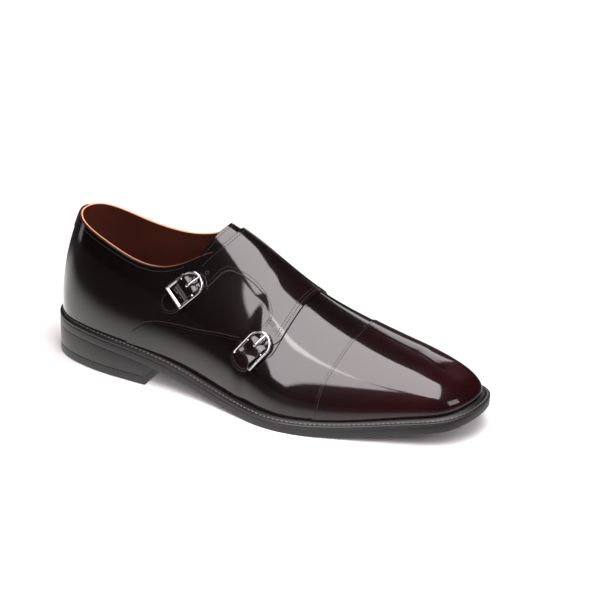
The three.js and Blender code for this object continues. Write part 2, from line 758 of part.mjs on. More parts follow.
function addPiece(name, geometry, material, matrix) {
  const mesh = new THREE.Mesh(geometry, material);
  mesh.name = name;
  if (matrix) mesh.applyMatrix4(matrix);
  shoe.add(mesh);
}

addPiece('top_lift', topLiftGeometry(), blackRubber);
addPiece('heel_stack', heelStackGeometry(), blackLeather);
addPiece('outsole', outsoleGeometry(), blackLeather);
addPiece('welt', weltGeometry(), blackLeather);
addPiece('insole', insoleGeometry(), tanLeather);
addPiece('upper', upperGeometry(), burgundyLeather);
const tongueLift = () => -(UPPER_WALL + 2 * GAP + TONGUE_LEATHER);
addPiece('tongue', laidSheetGeometry(tongueShape(), tongueLift, TONGUE_LEATHER, 10, 3), burgundyLeather);
const panel = laidSheetGeometry(panelShape(), strapLift, STRAP_LEATHER, 4.5, 4);
addPiece('monk_strap_panel', panel, burgundyLeather);
Object.entries(straps).forEach(([name, strap]) => {
  addPiece(`buckle_frame_${name}`, buckleFrameGeometry(), polishedMetal, buckleMatrix(strap));
  addPiece(`buckle_pin_${name}`, bucklePinGeometry(), polishedMetal, buckleMatrix(strap));
});

export default shoe;
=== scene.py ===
# %% [markdown]
# # A double monk strap shoe
# A low dress shoe for the right foot. The leather is cut in flat pieces, stretched over a wooden
# form called the last, and sewn to a narrow strip, the welt, which carries the sole and the heel.
# The scene is built the same way: one smooth surface stands for the last, every piece of leather is
# an outline cut from it, and every seam follows a line drawn on it. Lengths are in millimetres
# until a mesh is made; Blender itself works in metres.

# %% Load the fixed frame
import math
import bpy
import bmesh
import numpy as np
from mathutils import Matrix, Vector
from mathutils.geometry import delaunay_2d_cdt


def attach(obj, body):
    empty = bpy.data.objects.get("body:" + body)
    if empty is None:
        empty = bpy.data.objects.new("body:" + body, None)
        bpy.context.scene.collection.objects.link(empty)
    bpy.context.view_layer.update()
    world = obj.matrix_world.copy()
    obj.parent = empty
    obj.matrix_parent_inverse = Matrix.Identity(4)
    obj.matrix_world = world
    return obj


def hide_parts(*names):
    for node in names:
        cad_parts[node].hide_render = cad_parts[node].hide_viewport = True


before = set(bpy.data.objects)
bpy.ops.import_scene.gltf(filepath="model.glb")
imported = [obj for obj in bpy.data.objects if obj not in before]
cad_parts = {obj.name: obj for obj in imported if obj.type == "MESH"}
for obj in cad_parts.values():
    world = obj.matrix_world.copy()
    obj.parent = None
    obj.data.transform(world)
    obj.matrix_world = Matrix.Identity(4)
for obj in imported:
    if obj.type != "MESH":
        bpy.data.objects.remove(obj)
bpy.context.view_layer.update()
MM = 0.001
SHOE_MIDDLE = np.array([146.4, -3.4, 0.0])

# %% [markdown]
# ## The last
# A last is described by sections. Each one rises from the feather line, where the upper meets the
# sole, to the crest along the top of the foot. A section is one Bezier curve, so three numbers give
# its fullness: how far it flares, how high it does so, and how broad the shoulder is. A closed
# spline through all the sections, down the outer side and back along the inner side, makes the
# surface smooth everywhere, which matters because polished leather shows every ripple.

# %% Sections of the last
SECTION_COLUMNS = ("x", "outer", "inner", "feather", "crestX", "crestY", "crestZ", "rise",
                   "flareO", "flareI", "reachO", "reachI", "drop", "edgeO", "edgeI")
SECTIONS = {
    "heel_back": (-3.3, 0, 0, 30.0, 46, 0.0, 140.0, 0.235, 1.8, 1.8, 0.76, 0.76, 0.10, 0.57, 0.57),
    "heel_curve": (6, 19.2, 20.0, 29.4, 47, 0.0, 136.4, 0.25, 2.6, 3.1, 0.765, 0.775, 0.10, 0.567, 0.577),
    "heel_side": (22, 27.6, 27.6, 29.0, 51, 0.0, 131.7, 0.27, 3.2, 3.5, 0.77, 0.785, 0.10, 0.555, 0.565),
    "seat": (44, 32.7, 29.2, 28.0, 60, 0.1, 127.1, 0.29, 3.8, 3.9, 0.76, 0.78, 0.10, 0.53, 0.545),
    "breast": (72, 34.5, 29.7, 25.0, 80, 0.5, 122.2, 0.30, 5.0, 3.5, 0.73, 0.75, 0.09, 0.505, 0.55),
    "waist": (98, 35.6, 28.3, 20.6, 102, 1.1, 115.6, 0.30, 6.6, 3.4, 0.69, 0.71, 0.07, 0.60, 0.65),
    "throat": (122, 39.2, 27.6, 15.2, 124, 1.6, 107.8, 0.30, 6.8, 4.1, 0.65, 0.67, 0.045, 0.77, 0.80),
    "instep": (148, 45.9, 29.6, 10.9, 148, 1.6, 94.0, 0.30, 5.8, 4.8, 0.625, 0.63, 0.02, 0.83, 0.84),
    "vamp_point": (178, 51.7, 37.6, 8.8, 178, 1.3, 74.2, 0.32, 3.9, 4.9, 0.645, 0.62, 0.005, 1, 1),
    "ball": (205, 48.0, 43.6, 9.9, 205, 1.3, 60.9, 0.34, 2.6, 4.3, 0.675, 0.655, 0, 1, 1),
    "toe_cap": (235, 39.5, 43.9, 13.4, 234, 1.8, 50.0, 0.365, 2.0, 3.1, 0.71, 0.705, 0, 1, 1),
    "toe_side": (262, 31.0, 37.0, 17.4, 253, 2.8, 44.6, 0.395, 2.0, 1.8, 0.72, 0.72, 0, 1, 1),
    "toe_curve": (284, 19.6, 25.0, 20.9, 262, 3.5, 40.0, 0.415, 2.0, 1.3, 0.72, 0.72, 0, 1, 1),
    "toe_tip": (293.0, 0, 0, 23.5, 264, 4.0, 37.4, 0.415, 1.6, 1.6, 0.72, 0.72, 0, 1, 1),
}
TOE_POINT = 5.0  # the tip of the toe lies this far towards the inner side


def section_loop():
    """Section lines in order: outer side from heel to toe, then the inner side back."""
    rows = [dict(zip(SECTION_COLUMNS, values)) for values in SECTIONS.values()]

    def line(row, side, at_end):
        def pick(name):
            both = row[name + "O"], row[name + "I"]
            return sum(both) / 2 if at_end else both[side]
        y = (-row["outer"], row["inner"])[side]
        return [row["x"], y, row["feather"], row["crestX"], row["crestY"], row["crestZ"],
                row["rise"], pick("flare"), pick("reach"), row["drop"], pick("edge")]

    last = len(rows) - 1
    outer = [line(row, 0, i in (0, last)) for i, row in enumerate(rows)]
    outer[last][1] = TOE_POINT
    inner = [line(row, 1, False) for row in rows[-2:0:-1]]
    return np.array(outer + inner + outer[:1])


class ClosedSpline:
    """A closed cubic spline with continuous curvature, through the given section lines."""

    def __init__(self, points):
        steps = np.linalg.norm(np.diff(points[:, :2], axis=0), axis=1)
        steps = (steps + steps[::-1]) / 2
        self.knots = np.concatenate([[0], np.cumsum(steps)]) / steps.sum()
        self.points = points
        count = len(points) - 1
        width = np.diff(self.knots)
        slope = np.diff(points, axis=0) / width[:, None]
        system = np.zeros((count, count))
        for i in range(count):
            system[i, i - 1] += width[i - 1]
            system[i, i] += 2 * (width[i - 1] + width[i])
            system[i, (i + 1) % count] += width[i]
        self.bend = np.linalg.solve(system, 6 * (slope - np.roll(slope, 1, axis=0)))
        self.width = width

    def at(self, u):
        turn = np.mod(np.asarray(u, float), 1.0)
        i = np.clip(np.searchsorted(self.knots, turn, side="right") - 1, 0, len(self.width) - 1)
        h = self.width[i][..., None]
        b = (turn - self.knots[i])[..., None] / h
        a = 1 - b
        after = (i + 1) % len(self.width)
        bent = (a ** 3 - a) * self.bend[i] + (b ** 3 - b) * self.bend[after]
        return a * self.points[i] + b * self.points[i + 1] + bent * h * h / 6


LAST = ClosedSpline(section_loop())
FEATHER_LENGTH = 720.0  # about once round the feather line
print("sections", len(SECTIONS), "knots", np.round(LAST.knots[:14], 3))


# %% Points and directions on the last
def unit(vectors):
    return vectors / np.maximum(np.linalg.norm(vectors, axis=-1, keepdims=True), 1e-12)


def outward(u):
    """Level direction away from the foot."""
    ahead = LAST.at(u + 1e-4)[..., :2] - LAST.at(u - 1e-4)[..., :2]
    return unit(np.stack([ahead[..., 1], -ahead[..., 0]], axis=-1))


def last_point(u, t):
    """u goes once round the foot, t rises from the feather line (0) to the crest (1)."""
    u, t = np.broadcast_arrays(np.asarray(u, float), np.asarray(t, float))
    line = LAST.at(u)
    foot, crest = line[..., 0:3], line[..., 3:6]
    rise, flare, reach, drop = (line[..., k, None] for k in range(6, 10))
    height = crest[..., 2:] - foot[..., 2:]
    low = np.concatenate([foot[..., :2] + outward(u) * flare, foot[..., 2:] + rise * height], axis=-1)
    high = np.concatenate([crest[..., :2] + (foot - crest)[..., :2] * reach,
                           crest[..., 2:] - drop * height], axis=-1)
    t = t[..., None]
    return (1 - t) ** 3 * foot + 3 * (1 - t) ** 2 * t * low + 3 * (1 - t) * t * t * high + t ** 3 * crest


def last_normal(u, t):
    t = np.clip(t, 0.001, 0.998)
    along = last_point(u + 1e-4, t) - last_point(u - 1e-4, t)
    up = last_point(u, t + 1e-4) - last_point(u, t - 1e-4)
    return unit(np.cross(along, up))


# %% [markdown]
# ## Drawing on the last
# A shoemaker draws seams on the last with a tape: so far along the foot, and so far down from the
# crest. These two numbers, x and girth, are the pattern used here. Girth is positive on the outer
# side and negative on the inner side. A table of tape lengths for every section turns a pattern
# point into the last's own u and t, and back.

# %% Pattern coordinates
U_ROWS = np.linspace(0, 1, 721)
T_ROWS = np.linspace(0, 1, 81)
SURFACE = last_point(U_ROWS[:, None], T_ROWS[None, :])
TAPE = np.zeros(SURFACE.shape[:2])
TAPE[:, :-1] = np.cumsum(np.linalg.norm(np.diff(SURFACE, axis=1), axis=2)[:, ::-1], axis=1)[:, ::-1]
HALF_U = np.linspace(0, 0.5, 2001)
HALF_X = np.maximum.accumulate(LAST.at(HALF_U)[:, 0])


def tape_rows(u):
    place = np.mod(u, 1.0) * (len(U_ROWS) - 1)
    low = np.minimum(place.astype(int), len(U_ROWS) - 2)
    part = (place - low)[..., None]
    return TAPE[low] * (1 - part) + TAPE[low + 1] * part


def to_last(x, girth):
    """Pattern point to the last's u and t."""
    x, girth = np.broadcast_arrays(np.asarray(x, float), np.asarray(girth, float))
    u = np.interp(x, HALF_X, HALF_U)
    u = np.where(girth >= 0, u, 1 - u)
    rows = tape_rows(u.ravel())
    want = np.abs(girth).ravel()
    j = np.clip((rows > want[:, None]).sum(axis=1), 1, len(T_ROWS) - 1)
    k = np.arange(len(want))
    part = (rows[k, j - 1] - want) / np.maximum(rows[k, j - 1] - rows[k, j], 1e-9)
    t = T_ROWS[j - 1] + np.clip(part, 0, 1) * (T_ROWS[1] - T_ROWS[0])
    return u, t.reshape(u.shape)


def to_pattern(u, t):
    """The last's u and t to pattern x and girth."""
    u, t = np.broadcast_arrays(np.asarray(u, float), np.asarray(t, float))
    turn = np.mod(u, 1.0)
    x = np.interp(np.minimum(turn, 1 - turn), HALF_U, HALF_X)
    rows = tape_rows(turn.ravel())
    place = np.clip(t.ravel(), 0, 1) * (len(T_ROWS) - 1)
    j = np.minimum(place.astype(int), len(T_ROWS) - 2)
    k = np.arange(len(j))
    girth = rows[k, j] + (rows[k, j + 1] - rows[k, j]) * (place - j)
    return x, np.where(turn > 0.5, -1, 1) * girth.reshape(u.shape)


def laid(u, t, height):
    """A point of the last, raised by height."""
    return last_point(u, t) + last_normal(u, t) * np.asarray(height)[..., None]


def to_frame(points):
    return (np.asarray(points) - SHOE_MIDDLE) * MM


def smooth_step(value, start, end):
    part = np.clip((np.asarray(value, float) - start) / (end - start), 0, 1)
    return part * part * part * (part * (part * 6 - 15) + 10)


print("tape over the ball", round(float(TAPE[int(0.36 * 720), 0]), 1), "mm on the outer side")

# %% [markdown]
# ## Lines and outlines
# An outline needs only a few points. A Catmull-Rom curve passes through them and is sampled about
# every millimetre and a half. Stretches that follow the feather line, the collar or the crest come
# from the last itself.

# %% Curves through a few points
CUT_STEP = 1.5


def curve(points, step=CUT_STEP):
    """Samples of a smooth curve through pattern points."""
    p = np.array(points, float)
    ends = np.vstack([2 * p[0] - p[1], p, 2 * p[-1] - p[-2]])
    out = []
    for i in range(1, len(ends) - 2):
        a, b, c, d = ends[i - 1:i + 3]
        count = max(1, int(np.ceil(np.linalg.norm(c - b) / step)))
        s = np.linspace(0, 1, count, endpoint=False)[:, None]
        out.append(0.5 * (2 * b + (c - a) * s + (2 * a - 5 * b + 4 * c - d) * s ** 2
                          + (3 * b - a - 3 * c + d) * s ** 3))
    return np.vstack(out + [p[-1:]])


def drawn(points, step=CUT_STEP):
    """A smooth pattern curve as the last's u and t."""
    line = curve(points, step)
    return np.column_stack(to_last(line[:, 0], line[:, 1]))


def straight(points, step=CUT_STEP):
    """Straight pattern lines as the last's u and t."""
    p = np.array(points, float)
    out = []
    for b, c in zip(p[:-1], p[1:]):
        count = max(1, int(np.ceil(np.linalg.norm(c - b) / step)))
        out.append(b + (c - b) * np.linspace(0, 1, count, endpoint=False)[:, None])
    line = np.vstack(out + [p[-1:]])
    return np.column_stack(to_last(line[:, 0], line[:, 1]))


def along(x_from, x_to, inner_side, t_at):
    """A stretch between two x values at a height t_at(u) on one side of the last."""
    count = max(2, int(abs(x_to - x_from) / CUT_STEP) + 1)
    u = np.interp([x_from, x_to], HALF_X, HALF_U)
    u = np.linspace(u[0], u[1], count)
    u = 1 - u if inner_side else u
    return np.column_stack([u, t_at(u) + 0 * u])


def at_feather(u):
    return 0.0


def at_crest(u):
    return 1.0


def at_collar(u):
    return np.clip(LAST.at(u)[..., 10], 0, 1)


# %% [markdown]
# ## A piece of leather
# Real leather pieces have a thickness, a slightly rounded cut edge and a dyed edge face. A sheet
# could be a grid with a Solidify modifier, but a grid can't follow a curved outline. Here the
# outline is triangulated together with evenly spread inner points (a constrained Delaunay
# triangulation), laid on the last, and closed with a rounded rim and an underside. The shading
# normals are measured from the surface itself, so that reflections run smoothly over the triangles.

# %% Fill an outline with even triangles
SHEET_WIDTH, SHEET_HEIGHT = FEATHER_LENGTH, 88.0


def points_inside(points, outline, margin):
    """Which points lie inside a closed outline and further than margin from it."""
    a = outline
    b = np.roll(outline, -1, axis=0)
    inside = np.zeros(len(points), bool)
    near = np.full(len(points), 1e9)
    for (ax, ay), (bx, by) in zip(a, b):
        crosses = (ay > points[:, 1]) != (by > points[:, 1])
        if ay != by:
            inside ^= crosses & (points[:, 0] < (bx - ax) * (points[:, 1] - ay) / (by - ay) + ax)
        way = np.array([bx - ax, by - ay])
        part = np.clip(((points - [ax, ay]) @ way) / max(way @ way, 1e-12), 0, 1)
        near = np.minimum(near, np.hypot(*(points - [ax, ay] - part[:, None] * way).T))
    return inside & (near > margin)


def fill(outline, cell, guides=()):
    """Triangulates a closed outline of u, t points; guides are lines that need finer cells."""
    size = np.array([SHEET_WIDTH, SHEET_HEIGHT])
    edge = outline * size
    keep = np.linalg.norm(edge - np.roll(edge, 1, axis=0), axis=1) > 0.05
    edge = edge[keep]
    low, high = edge.min(axis=0), edge.max(axis=0)
    rows = np.arange(low[1], high[1], cell * 0.87)
    grid = [np.column_stack([np.arange(low[0] + cell * 0.5 * (k % 2), high[0], cell),
                             np.full(len(np.arange(low[0] + cell * 0.5 * (k % 2), high[0], cell)), y)])
            for k, y in enumerate(rows)]
    grid = np.vstack(grid)
    grid = grid[points_inside(grid, edge, 0.5 * cell)]
    for guide in guides:
        line = guide * size
        way = unit(np.gradient(line, axis=0))
        side = np.column_stack([-way[:, 1], way[:, 0]])
        band = np.vstack([line + side * d for d in (-1.3, -0.6, 0.0, 0.6, 1.3)])
        band = band[points_inside(band, edge, 0.3)]
        if len(band):
            far = np.ones(len(grid), bool)
            for k, point in enumerate(grid):
                far[k] = np.min(np.abs(line - point).max(axis=1)) > 1.9
            grid = np.vstack([grid[far], band])
    everything = np.vstack([edge, grid])
    found = delaunay_2d_cdt([Vector(p) for p in everything], [], [list(range(len(edge)))], 1, 1e-4)
    points = np.array([tuple(p) for p in found[0]]) / size
    faces = [tuple(f) for f in found[2]]
    return points, np.array(faces, int)


# %% Meshes with measured normals
def new_object(name, vertices, faces, materials, slots=None, normals=None, smooth=True):
    """A mesh in the frame's metres. normals holds one vector for each corner of each face."""
    mesh = bpy.data.meshes.new(name)
    mesh.from_pydata(to_frame(vertices).tolist(), [], [list(map(int, face)) for face in faces])
    for material in materials:
        mesh.materials.append(material)
    if slots is not None:
        mesh.polygons.foreach_set("material_index", np.asarray(slots, np.int32))
    mesh.polygons.foreach_set("use_smooth", np.full(len(mesh.polygons), smooth))
    if normals is not None:
        mesh.normals_split_custom_set(np.asarray(normals, float).tolist())
    piece = bpy.data.objects.new(name, mesh)
    bpy.context.scene.collection.objects.link(piece)
    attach(piece, "root")
    print(f"{name}: {len(mesh.vertices)} points, {len(mesh.polygons)} faces")
    return piece


RIM_ANGLES = np.radians([0, 30, 60, 90])


TIP_FAN = (250.0, 266.0)  # where the sections start to fan round the toe
FAN_FROM = 0.66


def calm_tip(normal, u, t):
    """Near the crest at the toe all sections meet in a point, so the shading is eased across it."""
    x, _ = to_pattern(u, t)
    share = smooth_step(x, *TIP_FAN) * smooth_step(t, FAN_FROM, FAN_FROM + 0.14)
    fan_u = np.interp(TIP_FAN[0], HALF_X, HALF_U)
    summit = unit(last_normal(np.array([fan_u, 1 - fan_u]), np.array([0.99, 0.99])).sum(axis=0))
    low = last_normal(u, np.full_like(t, FAN_FROM))
    part = np.clip((1 - t) / (1 - FAN_FROM), 0, 1)[:, None]
    eased = unit(summit * (1 - part) + low * part)
    return unit(normal * (1 - share[:, None]) + eased * share[:, None])


def leather(name, halves, underside, thickness, materials, cell=2.0, rounding=0.35, relief=None, guides=(),
            under_slot=1):
    """A closed piece of leather. halves: one or two outlines of u, t, welded along the crest.
    underside(x, girth) is the height of its lower face above the last."""
    uv, faces, start = [], [], 0
    for outline in halves:
        points, triangles = fill(outline, cell, guides)
        uv.append(points)
        faces.append(triangles + start)
        start += len(points)
    uv, faces = np.vstack(uv), np.vstack(faces)
    fold = np.minimum(np.mod(uv[:, 0], 1), 1 - np.mod(uv[:, 0], 1))
    keys = {}
    weld = np.arange(len(uv))
    for i in np.flatnonzero((uv[:, 1] > 1 - 1e-4) | (np.abs(uv[:, 0] - 0.5) < 1e-5)):
        key = (round(fold[i] * 2e4), round(min(uv[i, 1], 1) * 2e3))
        weld[i] = keys.setdefault(key, i)
    used, weld = np.unique(weld, return_inverse=True)
    faces = weld[faces]
    faces = faces[(faces[:, 0] != faces[:, 1]) & (faces[:, 1] != faces[:, 2]) & (faces[:, 2] != faces[:, 0])]

    def averaged(vectors):
        total = np.zeros((len(used), 3))
        np.add.at(total, weld, vectors)
        return unit(total)

    def height(u, t):
        x, girth = to_pattern(u, t)
        top = underside(x, girth) + thickness
        return top if relief is None else top + relief(x, girth)

    u, t = uv.T
    base = averaged(last_normal(u, t))
    point = last_point(u[used], t[used])
    top = height(u[used], t[used])
    du, dt = 5e-4, 4e-3
    t_high, t_low = np.minimum(t + dt, 0.999), np.maximum(np.minimum(t, 0.999) - dt, 0)
    sides = laid(u + du, t, height(u + du, t)) - laid(u - du, t, height(u - du, t))
    ups = laid(u, t_high, height(u, t_high)) - laid(u, t_low, height(u, t_low))
    normal = calm_tip(averaged(unit(np.cross(sides, ups))), u[used], t[used])

    a, b, c = point[faces[:, 0]], point[faces[:, 1]], point[faces[:, 2]]
    facing = (np.cross(b - a, c - a) * base[faces[:, 0]]).sum(axis=1)
    faces = np.where((facing < 0)[:, None], faces[:, ::-1], faces)
    directed = {(int(f[k]), int(f[(k + 1) % 3])) for f in faces for k in range(3)}
    border = [(p, q) for p, q in directed if (q, p) not in directed]
    away = np.zeros_like(point)
    for p, q in border:
        out = unit(np.cross(point[q] - point[p], base[p]))
        away[p] += out
        away[q] += out
    away = unit(away)
    rim = np.array(sorted({p for edge in border for p in edge}))
    row_of = {int(p): k for k, p in enumerate(rim)}

    vertices = [point + base * top[:, None]]
    vertices[0][rim] -= away[rim] * rounding
    row_normals = [unit(normal[rim])]
    for angle in RIM_ANGLES[1:]:
        inset, down = rounding * (1 - math.sin(angle)), rounding * (1 - math.cos(angle))
        vertices.append(point[rim] + base[rim] * (top[rim] - down)[:, None] - away[rim] * inset)
        row_normals.append(unit(normal[rim] * math.cos(angle) + away[rim] * math.sin(angle)))
    x, girth = to_pattern(u[used], t[used])
    under = point + base * underside(x, girth)[:, None]
    vertices.append(under)
    row_normals.append(away[rim])
    base_of_row = [0, len(point)]
    for _ in RIM_ANGLES[2:]:
        base_of_row.append(base_of_row[-1] + len(rim))
    first_under = base_of_row[-1] + len(rim)

    def corner(row, p):
        if row == 0:
            return p
        if row == len(RIM_ANGLES):
            return first_under + p
        return base_of_row[row] + row_of[p]

    polygons = [tuple(map(int, f)) for f in faces]
    corners = [normal[list(f)] for f in faces]
    slots = [0] * len(faces)
    for p, q in border:
        for row in range(len(RIM_ANGLES)):
            polygons.append((corner(row, q), corner(row, p), corner(row + 1, p), corner(row + 1, q)))
            here, below = row_normals[row], row_normals[row + 1]
            corners.append(np.array([here[row_of[q]], here[row_of[p]], below[row_of[p]], below[row_of[q]]]))
            slots.append(1 if row >= 2 else 0)
    for f in faces:
        polygons.append(tuple(int(first_under + p) for p in f[::-1]))
        corners.append(-base[list(f[::-1])])
        slots.append(under_slot)
    return new_object(name, np.vstack(vertices), polygons, materials, slots, np.vstack(corners))

# %% [markdown]
# ## Finishes
# Every finish is one Principled shader with a few procedural textures in the shoe's own metres, so
# that pores and scratches keep their real size. One helper adds a node with its settings and links.

# %% Helpers for materials
def linear(hex_code):
    """sRGB hex to the linear colour that the shader wants."""
    parts = [int(hex_code[i:i + 2], 16) / 255 for i in (1, 3, 5)]
    return [c / 12.92 if c <= 0.04045 else ((c + 0.055) / 1.055) ** 2.4 for c in parts] + [1.0]


def add(tree, kind, inputs=None, **settings):
    """Adds a node. inputs gives each socket a value or another node's output."""
    made = tree.nodes.new(kind)
    for key, value in settings.items():
        setattr(made, key, value)
    for key, value in (inputs or {}).items():
        if isinstance(value, bpy.types.NodeSocket):
            tree.links.new(value, made.inputs[key])
        else:
            made.inputs[key].default_value = value
    return made


def start(name, **values):
    """An empty material with one Principled shader. Returns material, tree, shader, coordinates."""
    material = bpy.data.materials.new(name)
    material.use_nodes = True
    tree = material.node_tree
    tree.nodes.clear()
    shader = add(tree, "ShaderNodeBsdfPrincipled", {k.replace("_", " "): v for k, v in values.items()})
    add(tree, "ShaderNodeOutputMaterial", {"Surface": shader.outputs["BSDF"]})
    where = add(tree, "ShaderNodeTexCoord").outputs["Object"]
    return material, tree, shader, where


def per_metre(size_mm):
    """Texture scale for a pattern whose repeat is size_mm."""
    return 1 / (size_mm * MM)


# %% [markdown]
# ### Polished calf, brushed off from burgundy to black
# Corrected-grain calf is pressed smooth and finished with a hard glaze, so it mirrors windows like
# a varnish: a low-roughness base under a clear coat. The dye is burgundy; black polish is brushed
# over it, least on the toe and the vamp and most around the heel and the straps. A long, very
# shallow ripple from the lasting makes the edges of the reflections wander.

# %% Burgundy calf
def polished_calf(name, red, black, red_from, red_to, ripple=0.05):
    material, tree, shader, where = start(name, Roughness=0.35, IOR=1.5, Coat_Weight=1.0,
                                          Coat_Roughness=0.055, Coat_IOR=1.5, Specular_IOR_Level=0.06)
    place = add(tree, "ShaderNodeSeparateXYZ", {"Vector": where})
    forward = add(tree, "ShaderNodeMapRange", {"Value": place.outputs["X"], "From Min": red_from,
                                              "From Max": red_to}, interpolation_type="SMOOTHSTEP")
    cloud = add(tree, "ShaderNodeTexNoise", {"Vector": where, "Scale": per_metre(38), "Detail": 3.0,
                                            "Roughness": 0.55})
    brushed = add(tree, "ShaderNodeMath", {0: forward.outputs["Result"], 1: cloud.outputs["Fac"]},
                  operation="MULTIPLY")
    depth = add(tree, "ShaderNodeMapRange", {"Value": brushed.outputs["Value"], "From Min": 0.08,
                                            "From Max": 0.62})
    colour = add(tree, "ShaderNodeMix", {"Factor": depth.outputs["Result"], 6: linear(black),
                                        7: linear(red)}, data_type="RGBA")
    tree.links.new(colour.outputs[2], shader.inputs["Base Color"])
    pores = add(tree, "ShaderNodeTexVoronoi", {"Vector": where, "Scale": per_metre(0.55)})
    creep = add(tree, "ShaderNodeTexNoise", {"Vector": where, "Scale": per_metre(24), "Detail": 2.0,
                                            "Roughness": 0.35})
    fine = add(tree, "ShaderNodeBump", {"Height": pores.outputs["Distance"], "Strength": 0.14,
                                       "Distance": 0.05 * MM})
    waves = add(tree, "ShaderNodeBump", {"Height": creep.outputs["Fac"], "Strength": 1.0,
                                        "Distance": ripple * MM, "Normal": fine.outputs["Normal"]})
    tree.links.new(fine.outputs["Normal"], shader.inputs["Normal"])
    tree.links.new(waves.outputs["Normal"], shader.inputs["Coat Normal"])
    return material


calf_vamp = polished_calf("polished_burgundy_calf", "#1b0507", "#060303", 0.0, 0.13)
calf_quarter = polished_calf("polished_dark_calf", "#100506", "#070404", -0.10, 0.10)


# %% [markdown]
# ### Plain finishes
# The cut edges are dyed and burnished. The lining is vegetable-tanned leather; its cut edge keeps
# its own tan, but its faces and the sock are coloured far darker, as painted shade for the inside
# of the shoe. The sole's edge is ink-dyed and ironed with wax, so it is black and satin; the top lift is
# rubber.

# %% Edge dye, lining, sole and thread
def plain_leather(name, colour, other, roughness, grain_mm, depth_mm, mottle_mm=14, coat=0.0):
    material, tree, shader, where = start(name, Roughness=roughness, IOR=1.5, Coat_Weight=coat,
                                          Coat_Roughness=0.25)
    cloud = add(tree, "ShaderNodeTexNoise", {"Vector": where, "Scale": per_metre(mottle_mm), "Detail": 4.0})
    mixed = add(tree, "ShaderNodeMix", {"Factor": cloud.outputs["Fac"], 6: linear(colour),
                                       7: linear(other)}, data_type="RGBA")
    tree.links.new(mixed.outputs[2], shader.inputs["Base Color"])
    grain = add(tree, "ShaderNodeTexNoise", {"Vector": where, "Scale": per_metre(grain_mm), "Detail": 5.0})
    bump = add(tree, "ShaderNodeBump", {"Height": grain.outputs["Fac"], "Strength": 1.0,
                                       "Distance": depth_mm * MM})
    tree.links.new(bump.outputs["Normal"], shader.inputs["Normal"])
    return material


edge_dye = plain_leather("burnished_cut_edge", "#1a0c0c", "#2c1714", 0.38, 0.8, 0.04)
# The lining's colour is painted shade: far darker than its own tan, which the cut edge on the next line
# keeps.
lining_with_painted_shade = plain_leather("vegetable_tanned_lining_painted_shade", "#3e180c", "#512211", 0.55, 1.1, 0.06, coat=0.15)
tan_edge = plain_leather("lining_cut_edge", "#d09a70", "#b77f58", 0.6, 0.9, 0.05)
sole_edge = plain_leather("waxed_black_sole_edge", "#050405", "#0a0909", 0.45, 1.6, 0.05)
sole_bottom = plain_leather("black_sole_leather", "#100f10", "#1b191a", 0.48, 2.2, 0.10)
heel_rubber = plain_leather("black_heel_rubber", "#0b0b0c", "#121213", 0.55, 0.7, 0.05)
dark_thread = plain_leather("waxed_burgundy_thread", "#0e0607", "#190c0d", 0.5, 0.35, 0.05)
welt_thread = plain_leather("waxed_grey_thread", "#3c3838", "#585352", 0.5, 0.35, 0.05)


# %% [markdown]
# ### Polished steel
# The buckles are stamped, tumbled and polished. Polishing leaves hairlines too fine to draw one by
# one, so they are drawn as a slight variation of roughness and a stretched noise in the bump.

# %% Buckle steel
def polished_steel():
    material, tree, shader, where = start("polished_buckle_steel", Metallic=1.0, Roughness=0.1)
    shader.inputs["Base Color"].default_value = linear("#d3d2d4")
    haze = add(tree, "ShaderNodeTexNoise", {"Vector": where, "Scale": per_metre(3), "Detail": 3.0})
    rough = add(tree, "ShaderNodeMapRange", {"Value": haze.outputs["Fac"], "To Min": 0.06, "To Max": 0.2})
    tree.links.new(rough.outputs["Result"], shader.inputs["Roughness"])
    stretch = add(tree, "ShaderNodeMapping", {"Vector": where, "Scale": (0.2, 1.0, 1.0)})
    lines = add(tree, "ShaderNodeTexNoise", {"Vector": stretch.outputs["Vector"], "Scale": per_metre(0.25)})
    bump = add(tree, "ShaderNodeBump", {"Height": lines.outputs["Fac"], "Strength": 0.3,
                                       "Distance": 0.01 * MM})
    tree.links.new(bump.outputs["Normal"], shader.inputs["Normal"])
    return material


buckle_steel = polished_steel()

# %% [markdown]
# ## The quarters, the vamp and the toe cap
# The outer quarter runs from the heel to a tab under the lower strap, and lies on the vamp there.
# Behind the lower buckle it is the other way round: the wing of the vamp lies on the quarter, and
# its seam sweeps back to the welt in front of the heel. The toe cap lies on the vamp. On the inner
# side the quarter and the strap panel are one piece that crosses the instep.

# %% Seam lines, in pattern x and girth
LEATHER = 0.9
TOE_X = float(HALF_X[-1])
HEEL_X = float(HALF_X[0])
CAP_CREST = 214.7
PANEL_FRONT, PANEL_BACK = 180.8, 124.6


def feather_girth(x, side=1):
    u = np.interp(x, HALF_X, HALF_U)
    return side * float(tape_rows(np.array([u if side > 0 else 1 - u]))[0, 0])


CAP_SEAM_OUTER = [(CAP_CREST, 0), (213.6, 12), (210.6, 31), (207.2, 45), (204.2, 57), (202.1, 74),
                  (201, feather_girth(201))]
CAP_SEAM_INNER = [(CAP_CREST, 0), (214.2, -12), (211.8, -27), (208.4, -44), (205.4, -58),
                  (202.4, feather_girth(202.4, -1))]
WING_SEAM = [(60.5, feather_girth(60.5)), (64.6, 100.6), (69.2, 95.7), (74.3, 91.0), (85.4, 85.5),
             (100.7, 81.1), (116.5, 77.3), (135.7, 69.7), (146.2, 65.3), (154, 61)]
TAB_FRONT = [(168, 27), (174, 29.5), (176.2, 34), (175.2, 40), (173.4, 47.6), (170.7, 57.2),
             (167.0, 62.5), (160, 66.5)]
PANEL_FRONT_OUTER = [(PANEL_FRONT, 0), (180.1, 6), (178.9, 16), (176.9, 30)]
PANEL_FRONT_INNER = [(PANEL_FRONT, 0), (180.9, -8), (179.8, -22), (175.5, -42), (168, -60),
                     (158, feather_girth(158, -1))]
